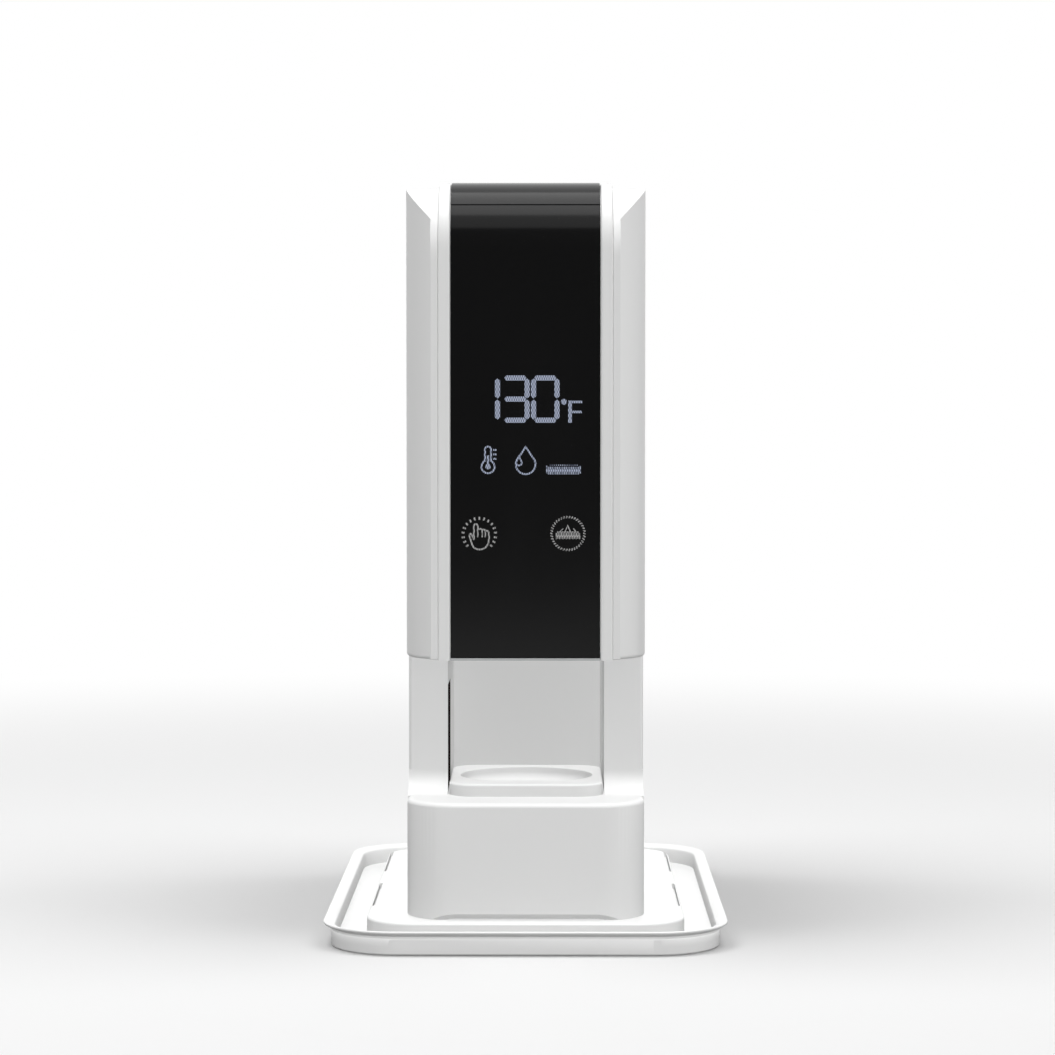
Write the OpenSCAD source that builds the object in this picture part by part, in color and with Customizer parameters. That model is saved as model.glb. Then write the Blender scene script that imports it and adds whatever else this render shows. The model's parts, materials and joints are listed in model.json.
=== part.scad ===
// Hot towel dispenser: a countertop machine that drops one compressed towel
// tablet at a time onto a dish and wets it with hot water.
// Millimetres, +Z up. The origin is the centre of the drip tray's underside.
// +X is the machine's right as seen from the front, and -Y is its front.
// Most pieces are drawn by their depth behind the machine's front face.

/* [Drip tray] */
// Width of the tray over its lip
tray_w = 202.4; // [190:0.2:260]
// Length of the tray over its lip
tray_d = 310; // [290:1:390]
// Height of the lip's outer edge
tray_h = 12.4; // [10:0.1:16]
// Corner radius of the lip's outer edge
tray_corner_r = 38; // [30:1:48]
// Width of the sloping lip
tray_lip = 6.2; // [5:0.1:9]
// Thickness of the tray's floor
tray_floor = 2.5; // [2:0.1:4]
// Gap in front of the machine, from its front face to the lip's edge
tray_apron = 34; // [25:1:50]

/* [Platform] */
// Width of the raised platform
platform_w = 160.6; // [140:0.2:176]
// Length of the raised platform
platform_d = 263.5; // [240:0.5:275]
// Height of the platform's top
platform_top = 12; // [9:0.5:16]
// How far the platform stands out in front of the machine
platform_apron = 5.5; // [2:0.5:12]
// Corner radius of the platform
platform_corner_r = 25; // [15:1:35]
// Thickness of the platform's top and skirt
platform_wall = 2; // [1.6:0.1:3]
// Width of a drain slot
slot_w = 1.6; // [1:0.1:3]
// Length of a drain slot
slot_l = 75; // [50:1:85]
// Gap between the two drain slots of a side
slot_gap = 43; // [30:1:60]
// Depth from the machine's front face to the first drain slot
slot_first = 48; // [35:1:60]

/* [Lower housing] */
// Width of the base block and column
body_w = 120; // [118:1:150]
// Depth of the machine from front to back
body_d = 236; // [232:1:290]
// Height of the base block's top
base_top = 71; // [66:0.5:90]
// Radius of the front corners in plan
front_corner_r = 25; // [15:1:30]
// Radius of the rear corners in plan
rear_corner_r = 12; // [6:1:20]
// Radius along the base block's top edge
base_edge_r = 2.5; // [1:0.5:5]
// Wall thickness of the mouldings
wall = 2.5; // [2:0.1:3]
// Gap under the housing's rim
rim_gap = 0.4; // [0.3:0.1:1]
// Size of the bevel along the front foot
foot_bevel = 3; // [1:0.5:5]

/* [Towel bay] */
// Clear width of the bay
bay_w = 80; // [76:1:90]
// Depth of the bay's back wall
bay_back = 113; // [108:1:118]
// Radius of the bay's back corners
bay_corner_r = 7.5; // [3:0.5:12]
// Depth of the pillars' front faces
pillar_front = 43; // [30:1:55]
// Radius of the blend at the pillars' feet
pillar_blend_r = 12; // [5:0.5:18]
// Depth of the dish's centre
dish_y = 70; // [64:1:74]
// Height of the window in the bay's left wall
window_h = 54; // [30:1:60]
// Length of the window, front to back
window_l = 38; // [20:1:50]

/* [Dish pad] */
// Width of the pad
pad_w = 78.4; // [74:0.2:86]
// Length of the pad
pad_d = 86; // [80:0.5:90]
// Height of the pad above the base block
pad_h = 6.4; // [5:0.2:9]
// Corner radius of the pad
pad_corner_r = 13; // [6:1:20]
// Diameter of the dish
dish_d = 67.5; // [60:0.5:70]
// Depth of the dish
dish_depth = 7; // [4:0.5:9]

/* [Head] */
// Width of the head over its side shells
head_w = 121; // [119:0.5:151]
// Height of the head's underside
head_bottom = 142.5; // [136:0.5:175]
// Height of the side shells' top
head_top = 379; // [355:1:460]
// Depth of the side shells' front face
shell_front = 1.5; // [0.5:0.5:4]
// Radius of the shells' front corners in plan
shell_corner_r = 31; // [20:1:36]
// Radius of the shells' front crown
shell_crown_r = 36; // [25:1:45]
// Radius of the head's rear crown
rear_crown_r = 20; // [12:1:24]
// Width of a trim rail
rail_w = 5.9; // [4:0.1:8]
// Thickness of a trim rail
rail_t = 3; // [2.4:0.1:4]
// How far the trim rails stand above the shells
rail_rise = 2.6; // [1:0.1:4]
// Radius of the trim rails' front crown
crown_r = 34; // [25:1:45]
// Rounding of a trim rail's edges
rail_edge_r = 0.9; // [0.3:0.1:1.2]

/* [Black strip] */
// Width of the front panel and the lids
panel_w = 74.6; // [74:0.2:84]
// Thickness of the front panel and the lids
panel_t = 3; // [2:0.1:4]
// How far the strip stands above the trim rails
strip_rise = 0.4; // [0:0.1:1]
// How far the strip lies behind the trim rails' front
strip_set_back = 0.5; // [0:0.1:1.5]
// Angle up the crown where the panel ends and the lid begins
split_angle = 39; // [25:1:60]
// Gap between neighbouring pieces of the strip
seam = 0.4; // [0.3:0.1:1]

/* [Towel feed] */
// Diameter of a compressed towel tablet
towel_d = 56; // [46:1:57]
// Thickness of a compressed towel tablet
towel_h = 11; // [8:0.5:13]
// Play between a tablet and what guides it
towel_play = 1.5; // [1:0.1:2]
// Wall thickness of the magazine tube
magazine_wall = 2; // [1.5:0.1:3]
// Height of the feed deck above the head's floor
deck_rise = 11; // [10.5:0.5:14]
// Tooth size of the rack and pinion
gear_module = 1; // [1:0.1:1.2]
// Teeth on the pinion
pinion_teeth = 16; // [14:1:17]
// Play between the teeth, on each flank
gear_play = 0.05; // [0.03:0.01:0.1]

/* [Water] */
// Wall thickness of the water tank
tank_wall = 2; // [1.6:0.1:3]
// Height of the tank's bottom above its shelf
tank_lift_h = 15.5; // [15:0.5:20]
// Height of the tank lid
tank_lid_h = 24; // [22:1:30]
// Bore of the hoses
hose_bore = 5.1; // [4.6:0.1:6.1]
// Wall thickness of the hoses
hose_wall = 1.45; // [1:0.05:2]
// Radius of the heater's body
heater_r = 14; // [12:0.5:15]
// Height of the heater's body
heater_h = 86; // [60:1:90]

/* [Hidden] */
$fn = 72;

// Colours
shell_white = [0.86, 0.86, 0.85];
trim_white = [0.93, 0.93, 0.93];
gloss_black = [0.05, 0.05, 0.055];
inner_grey = [0.70, 0.71, 0.72];
rubber_black = [0.12, 0.12, 0.12];
steel = [0.72, 0.73, 0.75];
acetal_cream = [0.90, 0.88, 0.80];
board_green = [0.10, 0.35, 0.20];
silicone = [0.82, 0.84, 0.86];

// Gaps: between mouldings that meet, and between pieces that slide
fit = 0.3;
run = 0.05;
eps = 0.01;

// The tray and the machine on it
front_y = -tray_d / 2 + tray_apron;
tray_inner_w = tray_w - 2 * tray_lip;
tray_inner_d = tray_d - 2 * tray_lip;
tray_inner_r = tray_corner_r - tray_lip;
slot_x = platform_w / 2 - 1.8;
housing_bottom = platform_top + rim_gap;

// Lower housing
column_top = head_bottom - fit;
bay_half = bay_w / 2;
body_half = body_w / 2;
inner_half = body_half - wall;
base_ceiling = base_top - wall;
post_r = 4.5;
post_x = inner_half - post_r + 0.4;
post_rear_y = body_d - 14;
post_front_y = pillar_front + 17;
foot_post_x = body_half - 14;
foot_post_y = 16;
plate_bottom = platform_top + 1;
plate_t = 3.5;
plate_top = plate_bottom + plate_t;
rear_open_half = 38;
rear_open_low = 32;
rear_open_high = head_bottom - 16.5;
rear_lip = 8;
rear_frame_t = 4;
cover_t = 2.4;
pilot_r = 1.3;
screw_r = 1.5;
screw_hole_r = 1.7;
screw_head_r = 2.8;
screw_head_t = 1.8;

// Mains inlet and switch
inlet_w = 27.4;
inlet_h = 20;
inlet_x = 18;
inlet_z = rear_open_low + 16;
switch_w = 13;
switch_h = 19.4;
switch_x = -20;
board_screw_x = 34;
board_screws = [base_top + 8, base_top + 26];
rocker_axis = -1.2;
rocker_throw = 20;

// Pad and dish
dish_r = dish_d / 2;
pad_top = base_top + pad_h;
boss_r = dish_r + 2.5;
dish_sphere_r = (dish_r * dish_r + dish_depth * dish_depth) / (2 * dish_depth);
boss_bottom = pad_top - dish_depth - 2;

// Head
strip_top = head_top + rail_rise + strip_rise;
rail_top = head_top + rail_rise;
panel_half = panel_w / 2;
rail_in = panel_half + fit;
rail_out = rail_in + rail_w;
head_half = head_w / 2;
floor_t = 3.5;
floor_top = head_bottom + floor_t;
chassis_in = rail_in + 0.9;
chassis_wall = 2.5;
chassis_out = chassis_in + chassis_wall;
cable_hole_r = 5;
ledge_t = 2;
ledge_w = 3;
board_y = strip_set_back + panel_t + 5;
shell_bosses = [[52, head_bottom + 78], [52, head_top - 72], [body_d - 26, head_bottom + 62],
    [body_d - 26, head_top - 72]];

// Towel feed
pocket_r = towel_d / 2 + towel_play / 2;
tablet_clear = towel_play / 2;
travel = towel_d + 6;
magazine_y = dish_y + travel;
magazine_bore_r = pocket_r + 0.75;
magazine_r = magazine_bore_r + magazine_wall;
deck_top = floor_top + deck_rise + 3;
deck_t = 3;
guide_w = 2;
pusher_low = deck_top + fit;
pusher_h = towel_h - 0.3;
guide_top = deck_top + towel_h + 1.1;
flange_low = guide_top + fit;
flange_t = 2;
pusher_front = magazine_y + pocket_r + 1;
pusher_rear = pusher_front + travel + 2;
pinion_r = gear_module * pinion_teeth / 2;
pinion_x = min(chassis_out + 7, head_half - wall - 1 - pinion_r - gear_module);
rack_x = pinion_x - pinion_r;
rack_pitch = PI * gear_module;
rack_front = pusher_front - 6.5;
rack_count = floor((travel + 12) / rack_pitch);
rack_rear = rack_front + rack_count * rack_pitch;
pinion_y = rack_front + 2 * rack_pitch;
gear_low = deck_top + 1;
gear_h = 8;
shaft_r = 1.5;
chute_r = pocket_r + 2.2;

// Compartments of the head
bulkhead_y = magazine_y + magazine_r + 7;
bulkhead_t = 2.5;
shelf_low = flange_low + flange_t - 0.4;
shelf_t = 2.5;
shelf_top = shelf_low + shelf_t;
deck_plate_low = head_top - 13;
deck_plate_t = 2.5;
tube_top = deck_plate_low + deck_plate_t + 1.5;
lid_axis_y = bulkhead_y - 7;
lid_axis_z = strip_top - 5.5;
lid_rear = lid_axis_y + 5.5;
knuckle_half = 29.7;
pin_r = 1.25;

// Lit figures and touch keys
key_x = [-23, 21.3];
key_z = head_bottom + 64.3;
figure_z = head_bottom + 130.8;

// Water tank
tank_half = panel_half - 0.3;
tank_front = bulkhead_y + bulkhead_t + 2.5;
tank_rear = body_d - 0.6;
tank_bottom = shelf_top + tank_lift_h;
tank_top = strip_top - tank_lid_h - 0.5;
tank_corner_r = 6;
tank_lid_low = strip_top - tank_lid_h + 0.1;
tank_pin_y = body_d - 3.5;
tank_pin_z = tank_top + 4.2;
dock_y = tank_rear - 29.95;
dock_cup_r = 11.5;
dock_wall = 3.5;
dock_h = tank_lift_h - 4;
dock_port_z = shelf_top + 6;
neck_r = dock_cup_r - 0.5;
neck_bore_r = 8.5;
neck_low = shelf_top + 4.5;
neck_web = 2;
poppet_r = 7.2;
poppet_t = 2;
poppet_low = neck_low + neck_web + 0.05;
stem_r = 2;
guide_low = tank_bottom - 1.5;
guide_t = 2;
valve_lift = 3;
outlet_r = 5;
pin_gap = 0.3;

// Hoses, pump and heater
hose_in = hose_bore / 2;
hose_out = hose_in + hose_wall;
spigot_r = hose_in - run;
spigot_bore = spigot_r - 1;
hose_bend = 8;
long_bend = 10;
suction_x = chassis_out + 1 + hose_bend;
pump_x = suction_x - 12;
pump_z = plate_top + 31.5;
pump_head_w = 36;
pump_head_h = 36;
pump_head_d = 22;
pump_motor_r = 14;
pump_motor_l = 60;
heater_x = 28;
heater_low = plate_top + 19.5;
heater_top = heater_low + heater_h;
pump_port_l = 11;
nozzle_y = bay_back - 5;
nozzle_z = floor_top + 5;

// Plan outline w by d with its front edge on y = 0; rf and rr round its front and rear corners
module plan(w, d, rf, rr) {
    for (sx = [-1, 1]) {
        translate([sx * (w / 2 - rf), rf]) circle(r = rf);
        translate([sx * (w / 2 - rr), d - rr]) circle(r = rr);
    }
    translate([-w / 2 + rf, 0]) square([w - 2 * rf, d]);
    translate([-w / 2, rf]) square([w, d - rf - rr]);
    translate([-w / 2 + rr, d / 2]) square([w - 2 * rr, d / 2]);
}

// Block on a plan outline, h tall, whose top edge is rounded by e
module soft_block(w, d, h, rf, rr, e) {
    linear_extrude(h - e) plan(w, d, rf, rr);
    translate([0, e, 0]) linear_extrude(h) plan(w - 2 * e, d - 2 * e, rf - e, rr - e);
    translate([0, 0, h - e]) {
        for (side = [0, 1]) mirror([side, 0, 0]) {
            translate([w / 2 - rf, rf, 0]) rotate([0, 0, -90]) rotate_extrude(angle = 90)
                translate([rf - e, 0]) edge_section(e);
            translate([w / 2 - rr, d - rr, 0]) rotate_extrude(angle = 90) translate([rr - e, 0])
                edge_section(e);
            translate([w / 2 - e, (d + rf - rr) / 2, 0]) rotate([90, 0, 0])
                linear_extrude(d - rf - rr, center = true) edge_section(e);
        }
        translate([0, e, 0]) rotate([90, 0, -90]) linear_extrude(w - 2 * rf, center = true) edge_section(e);
        translate([0, d - e, 0]) rotate([90, 0, 90]) linear_extrude(w - 2 * rr, center = true)
            edge_section(e);
    }
}

// Quarter round of radius e with a root that runs back into the block
module edge_section(e) {
    root = 1.5;
    intersection() {
        circle(r = e);
        square(e);
    }
    translate([-root, 0]) square([root + eps, e]);
}

// Sweeps a section, drawn outwards from x = 0, round a w by d outline centred on the origin
module around(w, d, r) {
    for (turn = [0:3])
        rotate([0, 0, 90 * turn]) {
            along = turn % 2 == 0 ? d : w;
            across = turn % 2 == 0 ? w : d;
            translate([across / 2, 0, 0]) rotate([90, 0, 0])
                linear_extrude(along - 2 * r, center = true) children();
            translate([across / 2 - r, along / 2 - r, 0])
                rotate_extrude(angle = 90) translate([r, 0]) children();
        }
}

// Puts a piece that is drawn by its depth behind the machine's front face
module at_front() {
    translate([0, front_y, 0]) children();
}

// Side outline by depth and height: flat front, round crown, flat top, round rear crown
module side_outline(front, rear, low, top, rf, rr) {
    translate([front + rf, top - rf]) circle(r = rf);
    translate([rear - rr, top - rr]) circle(r = rr);
    translate([front, low]) square([rear - front, top - max(rf, rr) - low]);
    translate([front, low]) square([rf, top - rf - low]);
    translate([rear - rr, low]) square([rr, top - rr - low]);
    translate([front + rf, low]) square([rear - front - rf - rr, top - low]);
}

// Turns an outline by depth and height into a solid from x0 to x1
module across(x0, x1) {
    translate([x0, 0, 0]) rotate([90, 0, 90]) linear_extrude(x1 - x0) children();
}

// Block by its lowest corner and its size
module block(low, size) {
    translate(low) cube(size);
}

// Cylinder along +X
module rod_x(r, l) {
    rotate([0, 90, 0]) cylinder(r = r, h = l);
}

// Cylinder along +Y
module rod_y(r, l) {
    rotate([-90, 0, 0]) cylinder(r = r, h = l);
}

// Screw with a round head; its shank runs down from z = 0 and its head stands on z = 0
module screw(r, l, head_r, head_t) {
    difference() {
        union() {
            translate([0, 0, -l]) cylinder(r = r, h = l + eps);
            cylinder(r = head_r, h = head_t);
        }
        for (turn = [0, 90])
            rotate([0, 0, turn]) block([-head_r * 0.6, -0.3, head_t - 0.8], [head_r * 1.2, 0.6, 1]);
    }
}

// Draws a tube along a route of straight runs [l] and bends [radius, angle, roll]; it starts along +Z
module tube_run(route, inner, outer, i = 0) {
    if (i < len(route)) {
        step = route[i];
        if (len(step) == 1) {
            linear_extrude(step[0]) tube_section(inner, outer);
            translate([0, 0, step[0]]) tube_run(route, inner, outer, i + 1);
        } else {
            rotate([0, 0, step[2]]) {
                translate([step[0], 0, 0]) rotate([90, 0, 0]) mirror([1, 0, 0])
                    rotate_extrude(angle = step[1]) translate([step[0], 0]) tube_section(inner, outer);
                translate([step[0] * (1 - cos(step[1])), 0, step[0] * sin(step[1])])
                    rotate([0, step[1], 0]) tube_run(route, inner, outer, i + 1);
            }
        }
    }
}

// Ring-shaped section of a tube
module tube_section(inner, outer) {
    difference() {
        circle(r = outer);
        if (inner > 0) circle(r = inner);
    }
}

// Points of a coil spring's centre line
function coil_point(r, h, turns, t) = [r * cos(360 * turns * t), r * sin(360 * turns * t), h * t];

// Coil spring: r to the wire's middle, h between the wire's end centres
module coil(r, h, turns, wire_r, steps = 16, sides = 6) {
    rings = floor(turns * steps);
    lean = atan(h / (2 * PI * r * turns));
    points = [for (k = [0:rings]) let (t = k / rings, c = coil_point(r, h, turns, t), a = 360 * turns * t)
        for (j = [0:sides - 1]) let (b = 360 * j / sides, u = wire_r * cos(b), v = wire_r * sin(b))
            c + [u * cos(a) + v * sin(a) * sin(lean), u * sin(a) - v * cos(a) * sin(lean), v * cos(lean)]];
    skin = [for (k = [0:rings - 1]) for (j = [0:sides - 1]) let (n = (j + 1) % sides)
        each [[k * sides + j, k * sides + n, (k + 1) * sides + n],
            [k * sides + j, (k + 1) * sides + n, (k + 1) * sides + j]]];
    low_end = [for (j = [1:sides - 2]) [0, j + 1, j]];
    high_end = [for (j = [1:sides - 2]) [rings * sides, rings * sides + j, rings * sides + j + 1]];
    polyhedron(points, concat(low_end, skin, high_end));
}

// Sloping lip and wall of the drip tray, outwards from the inside of the wall
module tray_section() {
    polygon([
        [-1, 0], [1.4, 0], [2.1, 0.7], [2.4, tray_h - 4.6], [2.2, tray_h - 4.2], [2.3, tray_h - 3],
        [tray_lip - 0.6, tray_h - 1.6], [tray_lip, tray_h - 1], [tray_lip, tray_h - 0.4],
        [tray_lip - 0.4, tray_h], [tray_lip - 1, tray_h - 0.05], [1.4, tray_h - 1.3], [0.5, tray_h - 1.8],
        [0, tray_h - 2.8], [0, tray_floor], [-1, tray_floor]
    ]);
}

module drip_tray() {
    color(shell_white) {
        around(tray_inner_w, tray_inner_d, tray_inner_r) tray_section();
        translate([0, -tray_inner_d / 2 + 0.5, 0])
            linear_extrude(tray_floor) plan(tray_inner_w - 1, tray_inner_d - 1, tray_inner_r, tray_inner_r);
    }
}

module tray_platform() {
    skirt = platform_top - tray_floor;
    rib_t = 2;
    color(shell_white) at_front() translate([0, -platform_apron, tray_floor]) {
        difference() {
            soft_block(platform_w, platform_d, skirt, platform_corner_r, platform_corner_r, 1.5);
            translate([0, platform_wall, -1]) linear_extrude(skirt - platform_wall + 1)
                plan(platform_w - 2 * platform_wall, platform_d - 2 * platform_wall,
                    platform_corner_r - platform_wall, platform_corner_r - platform_wall);
            for (sx = [-1, 1], k = [0, 1])
                translate([sx * slot_x, platform_apron + slot_first + k * (slot_l + slot_gap), skirt - 3])
                    linear_extrude(4) drain_slot();
        }
        for (x = [-1, 0, 1])
            block([x * platform_w / 4 - rib_t / 2, platform_wall - eps, 0],
                [rib_t, platform_d - 2 * platform_wall + 2 * eps, skirt - platform_wall + eps]);
    }
}

// Long slot with round ends
module drain_slot() {
    translate([-slot_w / 2, slot_w / 2]) square([slot_w, slot_l - slot_w]);
    for (y = [slot_w / 2, slot_l - slot_w / 2]) translate([0, y]) circle(d = slot_w);
}

// Places its children at the four tall posts that carry the head
module at_posts() {
    for (sx = [-1, 1], y = [post_front_y, post_rear_y]) translate([sx * post_x, y, 0]) children();
}

// Places its children at the two short posts behind the base's front
module at_foot_posts() {
    for (sx = [-1, 1]) translate([sx * foot_post_x, foot_post_y, 0]) children();
}

module lower_housing() {
    color(shell_white) at_front() {
        difference() {
            union() {
                difference() {
                    housing_outside();
                    housing_inside();
                }
                rear_frame();
            }
            bay_space();
            front_foot_bevel();
            translate([0, dish_y, base_ceiling - 1]) cylinder(r = boss_r + fit, h = wall + 2);
            window_cut(0);
            rear_opening();
        }
        difference() {
            union() {
                intersection() {
                    at_posts() translate([0, 0, plate_top + fit])
                        cylinder(r = post_r, h = head_bottom - plate_top - fit);
                    linear_extrude(head_bottom) translate([0, 1, 0])
                        plan(body_w - 2, body_d - 2, front_corner_r - 1, rear_corner_r - 1);
                }
                at_foot_posts() translate([0, 0, plate_top + fit])
                    cylinder(r = post_r, h = base_ceiling - plate_top - fit + 1);
                for (x = [-1, 1], z = board_screws)
                    translate([x * board_screw_x, bay_back + wall - 0.5, z]) rod_y(3, 4.5);
            }
            at_posts() {
                translate([0, 0, plate_top]) cylinder(r = pilot_r, h = 12);
                translate([0, 0, head_bottom - 12]) cylinder(r = pilot_r, h = 13);
            }
            at_foot_posts() translate([0, 0, plate_top]) cylinder(r = pilot_r, h = 12);
        }
    }
}

// Outside of the base block, the column and the blends at the pillars' feet
module housing_outside() {
    column_d = body_d - pillar_front;
    translate([0, 0, housing_bottom])
        soft_block(body_w, body_d, base_top - housing_bottom, front_corner_r, rear_corner_r, base_edge_r);
    translate([0, pillar_front, base_top - 10]) linear_extrude(column_top - base_top + 10)
        plan(body_w, column_d, 2, rear_corner_r);
    across(-body_half, body_half) difference() {
        translate([pillar_front - pillar_blend_r, base_top - base_edge_r])
            square([pillar_blend_r + 3, pillar_blend_r + base_edge_r]);
        translate([pillar_front - pillar_blend_r, base_top + pillar_blend_r]) circle(r = pillar_blend_r);
    }
}

// Hollow of the base, the pillars and the column; it is open below and above
module housing_inside() {
    translate([0, wall, housing_bottom - 1]) linear_extrude(base_ceiling - housing_bottom + 1)
        plan(body_w - 2 * wall, body_d - 2 * wall, front_corner_r - wall, rear_corner_r - wall);
    difference() {
        translate([0, pillar_front + wall, base_ceiling - 1]) linear_extrude(column_top - base_ceiling + 2)
            plan(body_w - 2 * wall, body_d - pillar_front - 2 * wall, 1, rear_corner_r - wall);
        block([-bay_half - wall, 0, base_ceiling - 2],
            [bay_w + 2 * wall, bay_back + wall, column_top - base_ceiling + 4]);
    }
}

// Clear space of the towel bay
module bay_space() {
    translate([0, -30, base_top]) linear_extrude(column_top - base_top + 1)
        plan(bay_w, bay_back + 30, 1, bay_corner_r);
}

// Bevel across the front foot of the base
module front_foot_bevel() {
    across(-body_half, body_half) polygon([
        [-1, housing_bottom - 1], [foot_bevel + 1, housing_bottom - 1], [-1, housing_bottom + foot_bevel + 1]
    ]);
}

// Opening for the bay's side window, made larger all round by grow
module window_cut(grow) {
    block([-bay_half - wall - 1, pillar_front + 1.5 - grow, base_top + 1.5 - grow],
        [wall + 2, window_l + 2 * grow, window_h + 2 * grow]);
}

// Thicker frame inside the rear wall, which the rear cover is screwed to
module rear_frame() {
    reach = rear_open_half + rear_lip + 1.5;
    block([-reach, body_d - wall - rear_frame_t, rear_open_low - rear_lip - 1.5],
        [2 * reach, rear_frame_t + 1, rear_open_high - rear_open_low + 2 * rear_lip + 3]);
}

// Stepped opening in the rear wall, which the rear cover closes
module rear_opening() {
    block([-rear_open_half, body_d - 12, rear_open_low],
        [2 * rear_open_half, 20, rear_open_high - rear_open_low]);
    block([-rear_open_half - rear_lip, body_d - cover_t - 0.2, rear_open_low - rear_lip],
        [2 * (rear_open_half + rear_lip), 5, rear_open_high - rear_open_low + 2 * rear_lip]);
    at_cover_screws() rotate([90, 0, 0]) cylinder(r = pilot_r, h = 12, center = true);
}

// Places its children at the rear cover's four screws, on its outer face
module at_cover_screws() {
    for (sx = [-1, 1], z = [rear_open_low - rear_lip / 2, rear_open_high + rear_lip / 2])
        translate([sx * (rear_open_half + rear_lip / 2), body_d - 0.2, z]) children();
}

module bottom_plate() {
    color(inner_grey) at_front() {
        difference() {
            union() {
                translate([0, wall + 0.5, plate_bottom]) linear_extrude(plate_t)
                    plan(body_w - 2 * wall - 1, body_d - 2 * wall - 1, front_corner_r - wall - 0.5,
                        rear_corner_r - wall - 0.5);
                for (sx = [-1, 1], y = [20, 96])
                    translate([sx * 34, y, plate_top - eps]) cylinder(r = 3.5, h = 6);
            }
            at_posts() plate_screw_hole();
            at_foot_posts() plate_screw_hole();
            at_feet() translate([0, 0, plate_bottom - 1]) cylinder(r = 3.1, h = plate_t + 2);
            for (x = [-1, 0, 1], k = [0:5])
                block([x * 9 - 2, 118 + 8 * k, plate_bottom - 1], [4, 3, plate_t + 2]);
        }
    }
}

// Stepped hole for a screw from below
module plate_screw_hole() {
    translate([0, 0, plate_bottom - 1]) {
        cylinder(r = screw_hole_r, h = plate_t + 2);
        cylinder(r = screw_head_r + 0.3, h = 1 + screw_head_t + 0.2);
    }
}

// Places its children at the four feet
module at_feet() {
    for (sx = [-1, 1], y = [38, body_d - 38]) translate([sx * (body_half - 20), y, 0]) children();
}

module rubber_feet() {
    color(rubber_black) at_front() at_feet() {
        translate([0, 0, platform_top]) cylinder(r = 8, h = 1);
        translate([0, 0, platform_top]) cylinder(r = 3.05, h = 1 + plate_t);
        translate([0, 0, plate_top]) cylinder(r = 4, h = 1.2);
    }
}

module rear_cover() {
    cover_half = rear_open_half + rear_lip - fit;
    cover_low = rear_open_low - rear_lip + fit;
    cover_high = rear_open_high + rear_lip - fit;
    slat = 4.2;
    color(shell_white) at_front() difference() {
        union() {
            block([-cover_half, body_d - cover_t, cover_low],
                [2 * cover_half, cover_t - 0.2, cover_high - cover_low]);
            block([-rear_open_half + fit, body_d - cover_t - 2.4, rear_open_low + fit],
                [2 * (rear_open_half - fit), 2.6, rear_open_high - rear_open_low - 2 * fit]);
        }
        block([-rear_open_half + fit + 2, body_d - cover_t - 3, rear_open_low + fit + 2],
            [2 * (rear_open_half - fit - 2), 3, rear_open_high - rear_open_low - 2 * fit - 4]);
        for (k = [0:6])
            block([-26, body_d - cover_t - 1, rear_open_high - 14 - k * 1.6 * slat], [52, 5, slat * 0.55]);
        block([inlet_x - inlet_w / 2, body_d - cover_t - 1, inlet_z - inlet_h / 2], [inlet_w, 5, inlet_h]);
        block([switch_x - switch_w / 2, body_d - cover_t - 1, inlet_z - switch_h / 2],
            [switch_w, 5, switch_h]);
        at_cover_screws() rotate([90, 0, 0]) cylinder(r = screw_hole_r, h = 12, center = true);
    }
}

module mains_inlet() {
    flange_w = inlet_w + 4;
    flange_h = inlet_h + 4;
    socket_w = inlet_w - 4.5;
    socket_h = inlet_h - 4.5;
    depth = 14;
    color(rubber_black) at_front() translate([inlet_x, body_d, inlet_z]) {
        difference() {
            union() {
                block([-flange_w / 2, fit / 3, -flange_h / 2], [flange_w, 2, flange_h]);
                block([-inlet_w / 2 + fit, -depth, -inlet_h / 2 + fit],
                    [inlet_w - 2 * fit, depth + 1, inlet_h - 2 * fit]);
            }
            translate([0, 5, 0]) rotate([90, 0, 0]) linear_extrude(5 + depth - 3) polygon([
                [-socket_w / 2, -socket_h / 2], [socket_w / 2, -socket_h / 2],
                    [socket_w / 2, socket_h / 2 - 4],
                [socket_w / 2 - 4, socket_h / 2], [-socket_w / 2 + 4, socket_h / 2],
                    [-socket_w / 2, socket_h / 2 - 4]
            ]);
        }
        for (p = [[-7, -1], [7, -1], [0, 3]])
            translate([p[0] - 1, -depth + 2, p[1] - 2]) cube([2, depth - 5, 4]);
    }
}

module switch_housing() {
    depth = 16;
    color(rubber_black) at_front() translate([switch_x, body_d, inlet_z]) difference() {
        union() {
            block([-switch_w / 2 - 1.2, fit / 3, -switch_h / 2 - 1.2], [switch_w + 2.4, 1.6, switch_h + 2.4]);
            block([-switch_w / 2 + fit, -depth, -switch_h / 2 + fit],
                [switch_w - 2 * fit, depth + 1, switch_h - 2 * fit]);
        }
        block([-switch_w / 2 + 1.8, -depth + 6, -switch_h / 2 + 1.8],
            [switch_w - 3.6, depth + 5, switch_h - 3.6]);
        translate([-switch_w / 2, rocker_axis, 0]) rod_x(1.2 + run, switch_w);
    }
}

// The rocker stands in its OFF position, tipped back by half of its throw
module switch_rocker() {
    half = switch_h / 2 - 2.3;
    color(gloss_black) at_front() translate([switch_x, body_d + rocker_axis, inlet_z])
        rotate([-rocker_throw / 2, 0, 0]) {
        translate([-switch_w / 2 + 2.2, 0, 0]) rotate([90, 0, 90]) linear_extrude(switch_w - 4.4) polygon([
            [2.6, 0], [3.6, half], [0, half - 0.6], [-2.4, 1.6], [-2.4, -1.6], [0, -half + 0.6], [3.6, -half]
        ]);
        translate([-switch_w / 2 + 0.6, 0, 0]) rod_x(1.2, switch_w - 1.2);
    }
}

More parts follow.
